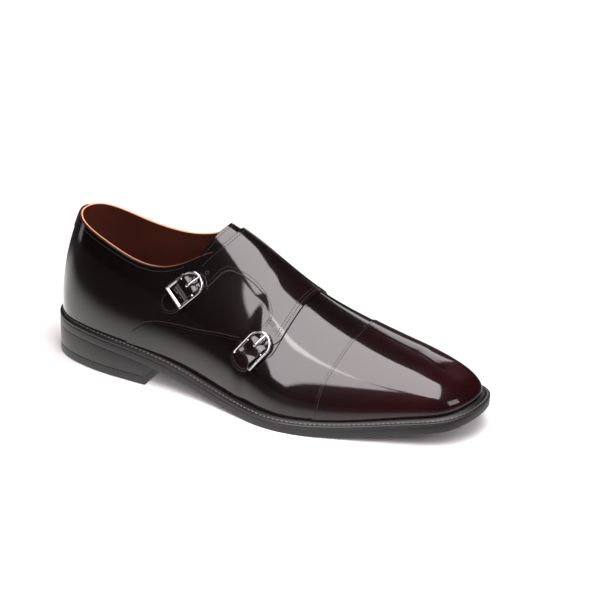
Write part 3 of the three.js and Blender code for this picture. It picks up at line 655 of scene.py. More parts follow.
PANEL_BACK_OUTER = [(116, 23), (121, 14.5), (124, 6), (PANEL_BACK, 0)]


def column(u, t_from, t_to, count=40):
    return np.column_stack([np.full(count, u), np.linspace(t_from, t_to, count)])


def outline(*stretches):
    """Joins stretches of u, t points end to end."""
    joined = np.vstack(stretches)
    return joined


# %% Outer quarter
COLLAR_FRONT = 150
collar_girth = float(to_pattern(*along(COLLAR_FRONT, COLLAR_FRONT, False, at_collar)[0])[1])


def tab_rise(x, girth):
    """How far the quarter climbs where it lies on the vamp."""
    return LEATHER * smooth_step(x, 150, 163) * smooth_step(girth, 8, 24)


quarter_outline = outline(
    along(HEEL_X, COLLAR_FRONT, False, at_collar),
    drawn([(COLLAR_FRONT, collar_girth), (158, 23)] + TAB_FRONT
          + [(146, 72), (124, 80), (100, 87.5), (80, 95), (68, 105), (64, feather_girth(64))]),
    along(64, HEEL_X, False, at_feather),
    column(0.0, 0.0, float(at_collar(0.0))),
)
quarter_outer = leather("quarter_outer", [quarter_outline],
                        lambda x, girth: tab_rise(x, girth) - LEATHER, LEATHER, [calf_quarter, edge_dye],
                        cell=2.4, guides=[drawn(TAB_FRONT[3:7])])

# %% Vamp with its wing
HIDDEN = 8.0  # how far a piece runs on under its neighbour


def wing_rise(x, girth):
    """How far the vamp climbs where its wing lies on the quarter."""
    return LEATHER * 0.85 * (1 - smooth_step(x, 143, 155)) * smooth_step(girth, 40, 56)


vamp_outer = outline(
    drawn(WING_SEAM + [(160, 52), (162, 38), (162, 20), (162, 0)]),
    along(162, CAP_CREST + HIDDEN, False, at_crest),
    drawn([(x + HIDDEN, g) for x, g in CAP_SEAM_OUTER[:-1]] + [(209, feather_girth(209))]),
    along(209, 60.5, False, at_feather),
)
vamp_inner = outline(
    along(162, CAP_CREST + HIDDEN, True, at_crest),
    drawn([(x + HIDDEN, g) for x, g in CAP_SEAM_INNER[:-1]] + [(210.4, feather_girth(210.4, -1))]),
    along(210.4, 145, True, at_feather),
    drawn([(145, feather_girth(145, -1)), (154, -60), (160, -42), (162, -22), (162, -1e-3)]),
)
vamp = leather("vamp", [vamp_outer, vamp_inner], lambda x, girth: wing_rise(x, girth) - LEATHER, LEATHER,
               [calf_vamp, edge_dye], cell=2.2, guides=[drawn([(x, g - 2.2) for x, g in WING_SEAM[2:-1]])])


# %% Toe cap
def cap_seam_x(girth):
    both = sorted([(g, x) for x, g in CAP_SEAM_OUTER + CAP_SEAM_INNER[1:]])
    return np.interp(girth, [g for g, _ in both], [x for _, x in both])


def cap_underside(x, girth):
    """The cap lies on the vamp at its seam and comes down to the lining further forward."""
    return 0.02 - (LEATHER + 0.02) * smooth_step(x - cap_seam_x(girth), HIDDEN, HIDDEN + 62)


cap_outer = outline(
    drawn(CAP_SEAM_OUTER[::-1]),
    along(CAP_CREST, TOE_X, False, at_crest),
    column(0.5, 1, 0),
    along(TOE_X, 201, False, at_feather),
)
cap_inner = outline(
    drawn(CAP_SEAM_INNER[::-1]),
    along(CAP_CREST, TOE_X, True, at_crest),
    column(0.5, 1, 0),
    along(TOE_X, 202.4, True, at_feather),
)
toe_cap = leather("toe_cap", [cap_outer, cap_inner], cap_underside, LEATHER * 0.8, [calf_vamp, edge_dye],
                  cell=2.0, rounding=0.3)

# %% [markdown]
# ## The strap panel
# One piece runs from the inner quarter over the instep and ends in two straps. Each strap passes
# under the round end of its buckle, over the middle bar, and then under the straight end (upper
# buckle) or over it (lower buckle), so its height above the quarter changes along its length.

# %% Straps and buckles: sizes and axes
STRAP_COLUMNS = ("x", "girth", "toward_x", "toward_girth", "tip", "over_bar")
STRAPS = {
    "upper": (104.3, 52.7, -0.61, 0.79, 25.0, 0),
    "lower": (159.6, 60.9, -0.45, 0.89, 16.0, 1),
}
STRAP_HALF_WIDTH, STRAP_WAIST, STRAP_BEGIN = 7.3, 5.9, -15
STRAP_THICKNESS = 1.3
BUCKLE_LENGTH, BUCKLE_WIDTH, BUCKLE_RAIL, BUCKLE_HEIGHT = 24.8, 17.2, 2.0, 2.0
BUCKLE_LIFT = 2.8
RISE_MIDDLE_BAR, RISE_STRAIGHT_BAR = 4.4, 6.4


class Strap:
    """Place of a buckle, with axes along the strap towards its end, across, and away from the leather."""

    def __init__(self, values):
        for name, value in zip(STRAP_COLUMNS, values):
            setattr(self, name, value)

        def at(dx, dg):
            u, t = to_last(self.x + dx, self.girth + dg)
            return laid(u, t, 0.0)

        per_x = (at(1, 0) - at(-1, 0)) / 2
        per_girth = (at(0, 1) - at(0, -1)) / 2
        self.along = unit(per_x * self.toward_x + per_girth * self.toward_girth)
        self.away = unit(np.cross(per_girth, per_x))
        self.across = unit(np.cross(self.away, self.along))
        self.steps = np.array([[per_x @ self.along, per_girth @ self.along],
                               [per_x @ self.across, per_girth @ self.across]])
        self.back = np.linalg.inv(self.steps)
        self.centre = at(0, 0) + self.away * BUCKLE_LIFT

    def point(self, along_mm, across_mm):
        x, girth = self.back @ (along_mm, across_mm)
        return self.x + x, self.girth + girth

    def place(self, x, girth):
        return (self.steps[0, 0] * (x - self.x) + self.steps[0, 1] * (girth - self.girth),
                self.steps[1, 0] * (x - self.x) + self.steps[1, 1] * (girth - self.girth))

    def matrix(self):
        placed = Matrix([list(row) for row in np.column_stack([self.along, self.across, self.away])])
        placed = placed.to_4x4()
        placed.translation = Vector(self.centre)
        return placed


straps = {name: Strap(values) for name, values in STRAPS.items()}
upper_strap, lower_strap = straps["upper"], straps["lower"]


def strap_end(strap):
    """Pattern outline of a strap's free part, from one root to the other round its pointed end."""
    half = BUCKLE_LENGTH / 2
    shoulder = half - 1
    taper = max(strap.tip - 8, shoulder + 0.2)
    side = [(STRAP_BEGIN, STRAP_HALF_WIDTH), (-shoulder, STRAP_HALF_WIDTH), (-shoulder + 3, STRAP_WAIST),
            (shoulder - 3, STRAP_WAIST), (shoulder, STRAP_HALF_WIDTH), (taper, STRAP_HALF_WIDTH)]
    reach = strap.tip - taper
    arch = [(taper + reach * math.sin(a), STRAP_HALF_WIDTH * math.cos(a) ** 1.25)
            for a in np.linspace(0.15, math.pi / 2, 9)]
    one = side + arch
    other = [(a, -b) for a, b in one[-2::-1]]
    return [strap.point(a, b) for a, b in one + other]


def strap_underside(x, girth):
    """Lower face of the panel and its straps above the last."""
    x, girth = np.asarray(x, float), np.asarray(girth, float)
    height = 0.05 + tab_rise(x, girth)
    clear = BUCKLE_LENGTH / 2 - 3.6
    for strap in straps.values():
        a, b = strap.place(x, girth)
        here = (np.abs(b) < STRAP_HALF_WIDTH + 3) & (a > -BUCKLE_LENGTH / 2) & (girth > 0)
        up = smooth_step(a, -clear, -1.5)
        down = 1 - smooth_step(a, 1.5, clear)
        if strap.over_bar:
            end = smooth_step(a, 2, clear)
            lift = RISE_MIDDLE_BAR * up * (1 - end) + RISE_STRAIGHT_BAR * end
        else:
            lift = RISE_MIDDLE_BAR * up * down
        height = np.where(here, height + lift, height)
    front = np.interp(-girth, [-g for _, g in PANEL_FRONT_INNER], [x for x, _ in PANEL_FRONT_INNER])
    settled = smooth_step(front - x, 12, 30) * smooth_step(-girth, 14, 38)
    return height - (0.05 + LEATHER) * settled


# %% Panel and inner quarter in one piece
inner_collar_end = 118
inner_collar_girth = float(to_pattern(*along(inner_collar_end, inner_collar_end, True, at_collar)[0])[1])
panel_outer = outline(
    along(PANEL_BACK, PANEL_FRONT, False, at_crest),
    drawn(PANEL_FRONT_OUTER + [lower_strap.point(STRAP_BEGIN, STRAP_HALF_WIDTH)]),
    straight(strap_end(lower_strap)),
    drawn([lower_strap.point(STRAP_BEGIN, -STRAP_HALF_WIDTH), (162.5, 36.5), (156.5, 30), (147, 27.4),
           (136, 28.2), (127.5, 31.6), upper_strap.point(STRAP_BEGIN, STRAP_HALF_WIDTH)]),
    straight(strap_end(upper_strap)),
    drawn([upper_strap.point(STRAP_BEGIN, -STRAP_HALF_WIDTH)] + PANEL_BACK_OUTER),
)
NEARLY_ROUND = 1 - 1e-5
panel_inner = outline(
    along(PANEL_BACK, PANEL_FRONT, True, at_crest),
    drawn([(PANEL_FRONT, -1e-3)] + PANEL_FRONT_INNER[1:]),
    along(158, HEEL_X, True, at_feather),
    column(NEARLY_ROUND, 0.0, float(at_collar(0.0))),
    along(HEEL_X, inner_collar_end, True, at_collar),
    drawn([(inner_collar_end, inner_collar_girth), (121.4, -10), (123.7, -5), (PANEL_BACK, -1e-3)]),
)
strap_panel = leather("strap_panel_and_inner_quarter", [panel_outer, panel_inner], strap_underside,
                      STRAP_THICKNESS * 0.8, [calf_quarter, edge_dye], cell=2.0, rounding=0.4)
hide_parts("monk_strap_panel")

# %% [markdown]
# ## Tongue, lining and back tab
# The tongue shows as a rim behind the panel. The lining is one sheet inside everything, and its
# trimmed edge stands a hair above the outer leather as a thin pale line round the collar. A small
# tab is folded over the back seam at the top.

# %% Tongue
TONGUE_TOP_OUTER = [(103.5, 36.5), (105.9, 29.5), (108.1, 24.6), (110.2, 20.2), (113.3, 11), (115.6, 4.5),
                    (116.4, 0)]
tongue_outer = outline(
    drawn(TONGUE_TOP_OUTER),
    along(116.4, 172, False, at_crest),
    straight([(172, 1e-3), (172, 16), (140, 27), (103.5, 36.5)]),
)
tongue_inner = outline(
    along(116.4, 172, True, at_crest),
    straight([(172, -1e-3), (172, -16), (140, -27), (104.5, -35)]),
    drawn([(x, -g - 1e-3) for x, g in TONGUE_TOP_OUTER]),
)


def tongue_underside(x, girth):
    return -2.1 - 1.7 * smooth_step(np.abs(girth), 18, 30)


tongue = leather("tongue", [tongue_outer, tongue_inner], tongue_underside, 1.6, [calf_quarter, edge_dye],
                 cell=2.2, rounding=0.6)
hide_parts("tongue")

# %% Lining
LINING_SHOW = 0.006  # how far the lining's edge stands above the outer leather, as a part of t


def at_lining_edge(u):
    return np.minimum(at_collar(u) + LINING_SHOW, 1)


def lining_underside(x, girth):
    """Snug under the collar, and a little looser towards the toe where nobody sees it."""
    return -2.0 - 1.3 * smooth_step(x, 135, 185)


INNER_FRONT = 116.5  # on the inner side the lining stays behind the panel's back edge
lining_girth = {side: float(to_pattern(*along(x, x, side, at_lining_edge)[0])[1])
                for side, x in ((False, COLLAR_FRONT), (True, INNER_FRONT))}
lining_outer = outline(
    along(HEEL_X, COLLAR_FRONT, False, at_lining_edge),
    straight([(COLLAR_FRONT, lining_girth[False]), (COLLAR_FRONT + 4, 0)]),
    along(COLLAR_FRONT + 4, TOE_X, False, at_crest),
    column(0.5, 1, 0, 24),
    along(TOE_X, HEEL_X, False, at_feather),
    column(0.0, 0.0, float(at_lining_edge(0.0)), 24),
)
lining_inner = outline(
    along(HEEL_X, INNER_FRONT, True, at_lining_edge) - [[1e-5, 0]],
    straight([(INNER_FRONT, lining_girth[True]), (121, -12.5), (127, -8), (COLLAR_FRONT + 4, -1e-3)]),
    along(COLLAR_FRONT + 4, TOE_X, True, at_crest),
    column(0.5, 1, 0, 24),
    along(TOE_X, HEEL_X, True, at_feather),
    column(NEARLY_ROUND, 0.0, float(at_lining_edge(0.0)), 24),
)
# The lining's faces take the darkened tan: painted shade for the inside of the shoe.
lining = leather("lining", [lining_outer, lining_inner], lining_underside, 1.05, [lining_with_painted_shade, tan_edge],
                 cell=3.6, rounding=0.3, under_slot=0)
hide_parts("upper")

# %% Back tab
TAB_DROP, TAB_HALF = 13.0, 5.0


def back_tab_half(inner_side):
    """One half of the tab over the back seam: a strip that narrows downwards."""
    top = float(at_collar(0.0)) + 0.004
    low = top - TAB_DROP / float(TAPE[0, 0])
    wide = TAB_HALF / FEATHER_LENGTH * 1.6
    count = 8
    u = np.concatenate([np.linspace(1e-5, wide, count), np.full(count, wide),
                        wide * np.cos(np.linspace(0, math.pi / 2, count)) + 1e-5, np.full(count, 1e-5)])
    t = np.concatenate([np.full(count, top), np.linspace(top, low + 0.02, count),
                        low + 0.02 - 0.02 * np.sin(np.linspace(0, math.pi / 2, count)),
                        np.linspace(low, top, count)])
    return np.column_stack([1 - u if inner_side else u, t])


for name, inner_side in (("outer", False), ("inner", True)):
    half_tab = leather(f"back_tab_{name}", [back_tab_half(inner_side)],
                       lambda x, g: np.full(np.shape(x), 0.05), 0.5, [calf_quarter, edge_dye],
                       cell=1.2, rounding=0.25)

# %% [markdown]
# ## Stitching
# Each row is about ten stitches to the inch. A stitch shows as a short thread pulled into the
# leather at both ends, so each one is a small tapered capsule that dives at its tips. All the
# stitches of a seam are joined in one mesh.

# %% Stitches along a line
STITCH_PITCH, STITCH_LENGTH, THREAD_RADIUS = 2.1, 1.7, 0.25


def capsule(radius, length, sides=6):
    """Rings of a tapered capsule along x: (x, radius, sink) for each ring."""
    stations = ((-0.5, 0.25, 0.9), (-0.36, 0.85, 0.25), (0.0, 1.0, 0.0), (0.36, 0.85, 0.25), (0.5, 0.25, 0.9))
    angle = np.linspace(0, 2 * math.pi, sides, endpoint=False)
    rings = [np.column_stack([np.full(sides, s * length), radius * r * np.cos(angle),
                              radius * (r * np.sin(angle) - 1.4 * sink)]) for s, r, sink in stations]
    faces = []
    for k in range(len(stations) - 1):
        for i in range(sides):
            j = (i + 1) % sides
            faces.append((k * sides + i, k * sides + j, (k + 1) * sides + j, (k + 1) * sides + i))
    faces.append(tuple(range(sides))[::-1])
    faces.append(tuple(range((len(stations) - 1) * sides, len(stations) * sides)))
    return np.vstack(rings), faces


def sew(name, lines, material, pitch=STITCH_PITCH, length=STITCH_LENGTH, radius=THREAD_RADIUS):
    """Joins the stitches of several lines. A line is a list of points with the direction away from them."""
    shape, shape_faces = capsule(radius, length)
    vertices, faces = [], []
    for points, away in lines:
        steps = np.concatenate([[0], np.cumsum(np.linalg.norm(np.diff(points, axis=0), axis=1))])
        for middle in np.arange(pitch / 2, steps[-1] - pitch / 3, pitch):
            here = np.array([np.interp(middle, steps, points[:, k]) for k in range(3)])
            ahead = np.array([np.interp(middle + 0.4, steps, points[:, k]) for k in range(3)])
            behind = np.array([np.interp(middle - 0.4, steps, points[:, k]) for k in range(3)])
            up = np.array([np.interp(middle, steps, away[:, k]) for k in range(3)])
            way = unit(ahead - behind)
            side = unit(np.cross(up, way))
            up = np.cross(way, side)
            start_at = sum(len(v) for v in vertices)
            vertices.append(here + shape @ np.array([way, side, up]))
            faces += [tuple(start_at + i for i in face) for face in shape_faces]
    sewn = new_object(name, np.vstack(vertices), faces, [material])
    return sewn


def on_piece(line, top):
    """A u, t line raised to the top of a piece, with the directions away from the last."""
    u, t = line.T
    x, girth = to_pattern(u, t)
    return laid(u, t, top(x, girth)), last_normal(u, t)


def beside(points, distance):
    """A pattern line moved sideways; positive is to the right of its direction seen from outside."""
    p = curve(points)
    way = unit(np.gradient(p, axis=0))
    moved = p + np.column_stack([way[:, 1], -way[:, 0]]) * distance
    return np.column_stack(to_last(moved[:, 0], moved[:, 1]))


# %% Seams of the upper
def panel_top(x, girth):
    return strap_underside(x, girth) + STRAP_THICKNESS * 0.8


def quarter_top(x, girth):
    return tab_rise(x, girth)


def wing_top(x, girth):
    return wing_rise(x, girth)


def cap_top(x, girth):
    return cap_underside(x, girth) + LEATHER * 0.8


def moved_x(points, shift):
    return [(x + shift, g) for x, g in points]


def strap_row(strap, inset):
    """Stitch line round a strap's end, inset from its edge."""
    half = BUCKLE_LENGTH / 2
    wide = STRAP_HALF_WIDTH - inset
    tip = strap.tip - inset * 1.3
    taper = max(strap.tip - 8, half - 0.8)
    begin = half + 1.5 if not strap.over_bar else half - 2
    arch = [(taper + (tip - taper) * math.sin(a), wide * math.cos(a) ** 1.25)
            for a in np.linspace(0, math.pi / 2, 8)]
    line = [(begin, wide)] + arch + [(a, -b) for a, b in arch[-2::-1]] + [(begin, -wide)]
    return straight([strap.point(a, b) for a, b in line], 0.7)


EDGE_INSET = 2.0
cut_out = [lower_strap.point(STRAP_BEGIN + 2, -STRAP_HALF_WIDTH + EDGE_INSET), (164.3, 36.8), (158.2, 28.8),
           (147.5, 25.3), (135, 26.2), (125.6, 30.2),
           upper_strap.point(STRAP_BEGIN + 1, STRAP_HALF_WIDTH - EDGE_INSET)]
panel_back_row = [upper_strap.point(STRAP_BEGIN, -STRAP_HALF_WIDTH + EDGE_INSET), (117.4, 24.5), (123, 15.2),
                  (126.2, 6), (PANEL_BACK + 2.1, 0)]
panel_lines = [
    on_piece(drawn(cut_out), panel_top),
    on_piece(drawn(panel_back_row), panel_top),
    on_piece(drawn([(PANEL_BACK + 2.1, -1e-3), (125.9, -5.5), (123.6, -11.5), (120.4, -17)]), panel_top),
    on_piece(strap_row(upper_strap, 1.6), panel_top),
    on_piece(strap_row(lower_strap, 1.6), panel_top),
]
for inset in (EDGE_INSET, EDGE_INSET + 1.8):
    panel_lines.append(on_piece(drawn(moved_x(PANEL_FRONT_OUTER, -inset)
                                      + [lower_strap.point(STRAP_BEGIN + 2, STRAP_HALF_WIDTH - inset)]),
                                panel_top))
    inner_front = [(x - inset, g - 1e-3) for x, g in PANEL_FRONT_INNER[:-1]]
    panel_lines.append(on_piece(drawn(inner_front + [(158 - inset, feather_girth(158, -1) + 2)]), panel_top))
sew("panel_stitches", panel_lines, dark_thread)

cap_lines = []
for shift in (1.5,):
    cap_lines.append(on_piece(drawn([(x + shift, g) for x, g in CAP_SEAM_OUTER]), cap_top))
    cap_lines.append(on_piece(drawn([(x + shift, g - 1e-3) for x, g in CAP_SEAM_INNER]), cap_top))
sew("toe_cap_stitches", cap_lines, dark_thread, pitch=1.7, length=1.5, radius=0.22)

vamp_lines = [on_piece(drawn([(x + 1.2 * (x < 70), g - 1.9) for x, g in WING_SEAM[1:-1]]), wing_top)]
vamp_lines.append(on_piece(drawn([(x - 1.9, g) for x, g in TAB_FRONT[4:6]] + [(166, 59)]), quarter_top))
sew("vamp_and_tab_stitches", vamp_lines, dark_thread)


def collar_row(inner_side, x_from, x_to, below):
    """A row below the collar's edge."""
    line = along(x_from, x_to, inner_side, at_collar)
    line[:, 1] -= below / 110.0
    return on_piece(line, lambda x, g: np.full(np.shape(x), 0.0))


sew("collar_stitches", [collar_row(False, 0.0, 98, 2.4), collar_row(True, 0.0, 118, 2.4)], dark_thread)
tongue_lines = [on_piece(drawn([(x + 2.4, g) for x, g in TONGUE_TOP_OUTER]),
                         lambda x, g: tongue_underside(x, g) + 1.6),
                on_piece(drawn([(x + 2.4, -g - 1e-3) for x, g in TONGUE_TOP_OUTER]),
                         lambda x, g: tongue_underside(x, g) + 1.6)]
sew("tongue_stitches", tongue_lines, dark_thread)
tack = [on_piece(straight([lower_strap.point(STRAP_BEGIN - 2.5 + d, -STRAP_HALF_WIDTH - 1),
                           lower_strap.point(STRAP_BEGIN - 2.5 + d, -STRAP_HALF_WIDTH + 6)], 0.5), panel_top)
        for d in (-1.1, 0.0, 1.1)]
sew("strap_bar_tack", tack, dark_thread, pitch=1.6, length=1.5)

# %% [markdown]
# ## Sole
# The welt is a strip sewn round the whole shoe; its top slopes down and carries the stitches that
# hold the outsole. Below it come the outsole and, under the heel, the stack of leather lifts and
# the rubber top lift, all ground flush at the edge. Each is a closed ring of profile points with a
# filled top and bottom.

# %% Heights along the sole
SOLE_MARGINS = ((0, 2.1), (60, 2.9), (110, 4.9), (190, 4.8), (300, 5.2))
AIR = 0.3
WELT_SLOPE, WELT_THICKNESS, OUTSOLE_THICKNESS, FOREFOOT_SETTLE = 1.8, 2.0, 4.7, 0.6
HEEL_BREAST, TOP_LIFT_THICKNESS = 76.0, 6.0
HALF_FEATHER = LAST.at(HALF_U)[:, 2]


def level(x):
    """Height of the feather line, carried on straight past both ends."""
    x = np.asarray(x, float)
    z = np.interp(x, HALF_X, HALF_FEATHER)
    back = HALF_FEATHER[0] + (x - HEEL_X) * (HALF_FEATHER[80] - HALF_FEATHER[0]) / (HALF_X[80] - HEEL_X)
    ahead = HALF_FEATHER[-1] + (x - TOE_X) * (HALF_FEATHER[-80] - HALF_FEATHER[-1]) / (HALF_X[-80] - TOE_X)
    return np.where(x < HEEL_X, back, np.where(x > TOE_X, ahead, z))


def welt_floor(x):
    return level(x) - WELT_SLOPE - WELT_THICKNESS


def tread(x):
    return np.maximum(0, welt_floor(x) - AIR - OUTSOLE_THICKNESS - FOREFOOT_SETTLE)


def feather_edge(u, margin):
    """A level outline outside the feather line."""
    return LAST.at(u)[..., :2] + outward(u) * np.asarray(margin)[..., None]


def sole_margin(u):
    x = LAST.at(u)[..., 0]
    return np.interp(x, [m[0] for m in SOLE_MARGINS], [m[1] for m in SOLE_MARGINS])


# %% A slab with rounded edges
SOLE_STEPS = 360
u_round = np.linspace(0, 1, SOLE_STEPS, endpoint=False)


def profile_rows(top, bottom, rounding):
    """Rows of (distance in from the edge, height) down the side of a slab."""
    rows = []
    for angle in np.radians([0, 30, 60, 90]):
        rows.append((rounding * (1 - math.sin(angle)), top, -rounding * (1 - math.cos(angle))))
    for angle in np.radians([90, 60, 30, 0]):
        rows.append((rounding * (1 - math.sin(angle)), bottom, rounding * (1 - math.cos(angle))))
    return rows


def slab(name, u_list, edge_margin, top, bottom, material, rounding=0.5, closed=True, across=10):
    """A slab between two heights inside an outline; closed runs all round, or else ends at the breast."""
    rings = []
    for inset, height, shift in profile_rows(top, bottom, rounding):
        xy = feather_edge(u_list, edge_margin(u_list) - inset)
        if not closed:
            xy[:, 0] = np.minimum(xy[:, 0], HEEL_BREAST)
        rings.append(np.column_stack([xy, height(xy[:, 0]) + shift]))
    count = len(u_list)
    vertices = np.vstack(rings)
    faces = []
    ring_count = len(rings)
    for k in range(ring_count - 1):
        for i in range(count):
            j = (i + 1) % count
            faces.append((k * count + i, (k + 1) * count + i, (k + 1) * count + j, k * count + j))
    extra = []

    def lid(ring, height, shift, flip):
        """Fills one end with bars that cross the shoe."""
        bars = []
        half = count // 2
        for k in range(half + 1):
            across_from = (count - k) % count if closed else count - 1 - k
            a, b = ring * count + k, ring * count + across_from
            if a == b:
                bars.append([a])
                continue
            bar = [a]
            for s in np.linspace(0, 1, across + 1)[1:-1]:
                point = vertices[a] * (1 - s) + vertices[b] * s
                point[2] = height(point[0]) + shift
                extra.append(point)
                bar.append(len(vertices) + len(extra) - 1)
            bar.append(b)
            bars.append(bar)
        for one, two in zip(bars[:-1], bars[1:]):
            if len(one) == 1 or len(two) == 1:
                point, bar = (one[0], two) if len(one) == 1 else (two[0], one)
                for p, q in zip(bar[:-1], bar[1:]):
                    face = (point, p, q) if (len(one) == 1) != flip else (point, q, p)
                    faces.append(face[::-1])
                continue
            for i in range(across):
                face = (one[i], one[i + 1], two[i + 1], two[i])
                faces.append(face[::-1] if flip else face)

    if closed:
        lid(0, top, 0.0, False)
        lid(ring_count - 1, bottom, 0.0, True)
    else:
        faces.append(tuple(range(count))[::-1])
        faces.append(tuple(range((ring_count - 1) * count, ring_count * count)))
    if extra:
        vertices = np.vstack([vertices, np.array(extra)])
    piece = new_object(name, vertices, faces, [material])
    return piece


def tidy_normals(piece):
    """Welds doubled points and makes every face look outward."""
    work = bmesh.new()
    work.from_mesh(piece.data)
    bmesh.ops.remove_doubles(work, verts=work.verts, dist=0.01 * MM)
    bmesh.ops.recalc_face_normals(work, faces=work.faces)
    work.to_mesh(piece.data)
    work.free()
    return piece


outsole = tidy_normals(slab("outsole", u_round, sole_margin, lambda x: welt_floor(x) - AIR * 0.3, tread,
                            sole_edge, rounding=0.3))
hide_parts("outsole")

# %% Heel
def breast_place(inner_side):
    """Where the sole's edge reaches the front face of the heel."""
    u = np.linspace(0.02, 0.3, 4001)
    u = 1 - u if inner_side else u
    x = feather_edge(u, sole_margin(u))[:, 0]
    return float(u[np.argmin(np.abs(x - HEEL_BREAST))])


heel_u = np.concatenate([np.linspace(breast_place(True), 1, 70, endpoint=False),
                         np.linspace(0, breast_place(False), 70)])
heel_stack = tidy_normals(slab("heel_stack", heel_u, sole_margin, lambda x: tread(x) - AIR * 0.3,
                               lambda x: TOP_LIFT_THICKNESS + AIR * 0.3 + 0 * x, sole_edge,
                               rounding=0.25, closed=False))
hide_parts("heel_stack")
top_lift = tidy_normals(slab("top_lift", heel_u, sole_margin, lambda x: TOP_LIFT_THICKNESS + 0 * x,
                             lambda x: 0 * x, heel_rubber, rounding=0.45, closed=False))
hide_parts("top_lift")

# %% Welt and its stitches
WELT_INSIDE = 8.0
STITCH_LINE = 1.9  # from the welt's outer edge


def welt_slope(u, margin):
    """Height of the welt's top, sloping down from the feather line to its edge."""
    x = LAST.at(u)[..., 0]
    return level(x) - AIR - (WELT_SLOPE - AIR) * np.clip(margin / sole_margin(u), 0, 1)


def welt_rings():
    full = sole_margin(u_round)
    rows = [(-WELT_INSIDE + 0 * full, None, 0.0), (0 * full, None, 0.0)]
    for inset, sink in ((STITCH_LINE + 0.7, 0.0), (STITCH_LINE + 0.35, -0.22), (STITCH_LINE - 0.35, -0.22),
                        (STITCH_LINE - 0.7, 0.0), (0.45, 0.0), (0.12, -0.12), (0.0, -0.45)):
        rows.append((full - inset, None, sink))
    rows += [(full, "floor", 0.35), (full - 0.3, "floor", 0.0), (-WELT_INSIDE + 0 * full, "floor", 0.0)]
    rings = []
    for margin, kind, sink in rows:
        xy = feather_edge(u_round, margin)
        z = welt_floor(xy[:, 0]) if kind else welt_slope(u_round, np.maximum(margin, 0))
        rings.append(np.column_stack([xy, z + sink]))
    return rings


rings = welt_rings()
count = len(u_round)
welt_faces = [(k * count + i, ((k + 1) % len(rings)) * count + i,
               ((k + 1) % len(rings)) * count + (i + 1) % count, k * count + (i + 1) % count)
              for k in range(len(rings)) for i in range(count)]
welt = tidy_normals(new_object("welt", np.vstack(rings), welt_faces, [sole_edge]))
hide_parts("welt")
stitch_u = np.linspace(0, 1, 1200)
stitch_xy = feather_edge(stitch_u, sole_margin(stitch_u) - STITCH_LINE)
stitch_path = np.column_stack([stitch_xy, welt_slope(stitch_u, sole_margin(stitch_u) - STITCH_LINE) - 0.12])
sew("welt_stitches", [(stitch_path, np.tile([0.0, 0.0, 1.0], (len(stitch_u), 1)))], welt_thread,
    pitch=3.1, length=2.5, radius=0.42)

# %% Insole with its sock
# The sock takes the lining's darkened tan: painted shade for the inside of the shoe.
sock = tidy_normals(slab("insole_and_sock", u_round, lambda u: -2.7 + 0 * u,
                         lambda x: level(x) + 3.2, lambda x: level(x) + 0.1, lining_with_painted_shade, rounding=0.7))
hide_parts("insole")

# %% [markdown]
# ## Buckles
# Each buckle is a D-shaped frame with a middle bar. The frame is a profile swept round a path made
# of straights and one arc, so the same path can be drawn at any inset. The pin turns on the middle
# bar, comes up through a hole in the strap and rests on the round end.

# %% Buckle frame
FRAME_PROFILE = ((0.0, 0.15), (0.0, 1.25), (0.18, 1.7), (0.55, 1.95), (0.95, 2.0), (1.25, 1.82),
                 (1.45, 1.4), (1.75, 1.3), (2.0, 1.05), (2.0, 0.15), (1.8, 0.0), (0.2, 0.0))


def frame_path(inset):
    """Points round the D at an inset: the straight end with small corners, then the arc."""
    half_width, straight_end = BUCKLE_WIDTH / 2 - inset, BUCKLE_LENGTH / 2 - inset
    middle = BUCKLE_LENGTH / 2 - BUCKLE_WIDTH / 2
    corner = max(0.15, 0.9 - inset * 0.4)
    points = []
    for turn in np.linspace(-math.pi / 2, 0, 5):
        points.append((straight_end - corner + corner * math.cos(turn),
                       -half_width + corner + corner * math.sin(turn)))
    for turn in np.linspace(0, math.pi / 2, 5):
        points.append((straight_end - corner + corner * math.cos(turn),
                       half_width - corner + corner * math.sin(turn)))
    for s in np.linspace(0, 1, 8)[1:-1]:
        points.append(((straight_end - corner) * (1 - s) - middle * s, half_width))
    for turn in np.linspace(math.pi / 2, 3 * math.pi / 2, 40):
        points.append((-middle + half_width * math.cos(turn), half_width * math.sin(turn)))
    for s in np.linspace(0, 1, 8)[1:-1]:
        points.append((-middle * (1 - s) + (straight_end - corner) * s, -half_width))
    return np.array(points)


def swept(rings, close_ends=False):
    """Faces between rings of equal length; the rings themselves are closed."""
    count, faces = len(rings[0]), []
    total = len(rings)
    for k in range(total if not close_ends else total - 1):
        for i in range(count):
            j = (i + 1) % count
            after = (k + 1) % total
            faces.append((k * count + i, k * count + j, after * count + j, after * count + i))
    if close_ends:
        faces.append(tuple(range(count))[::-1])
        faces.append(tuple(range((total - 1) * count, total * count)))
    return np.vstack(rings), faces


def tube(points, radii, sides=14):
    """A round bar along points."""
    points = np.array(points, float)
    ways = unit(np.gradient(points, axis=0))
    angle = np.linspace(0, 2 * math.pi, sides, endpoint=False)
    rings = []
    for point, way, radius in zip(points, ways, radii):
        side = unit(np.cross(way, [0.0, 0.0, 1.0]) if abs(way[2]) < 0.9 else np.cross(way, [0.0, 1.0, 0.0]))
        up = np.cross(side, way)
        rings.append(point + radius * (np.cos(angle)[:, None] * side + np.sin(angle)[:, None] * up))
    return swept(rings, close_ends=True)


def join(*parts):
    vertices, faces = [], []
    for points, part_faces in parts:
        start_at = sum(len(v) for v in vertices)
        vertices.append(points)
        faces += [tuple(start_at + i for i in face) for face in part_faces]
    return np.vstack(vertices), faces


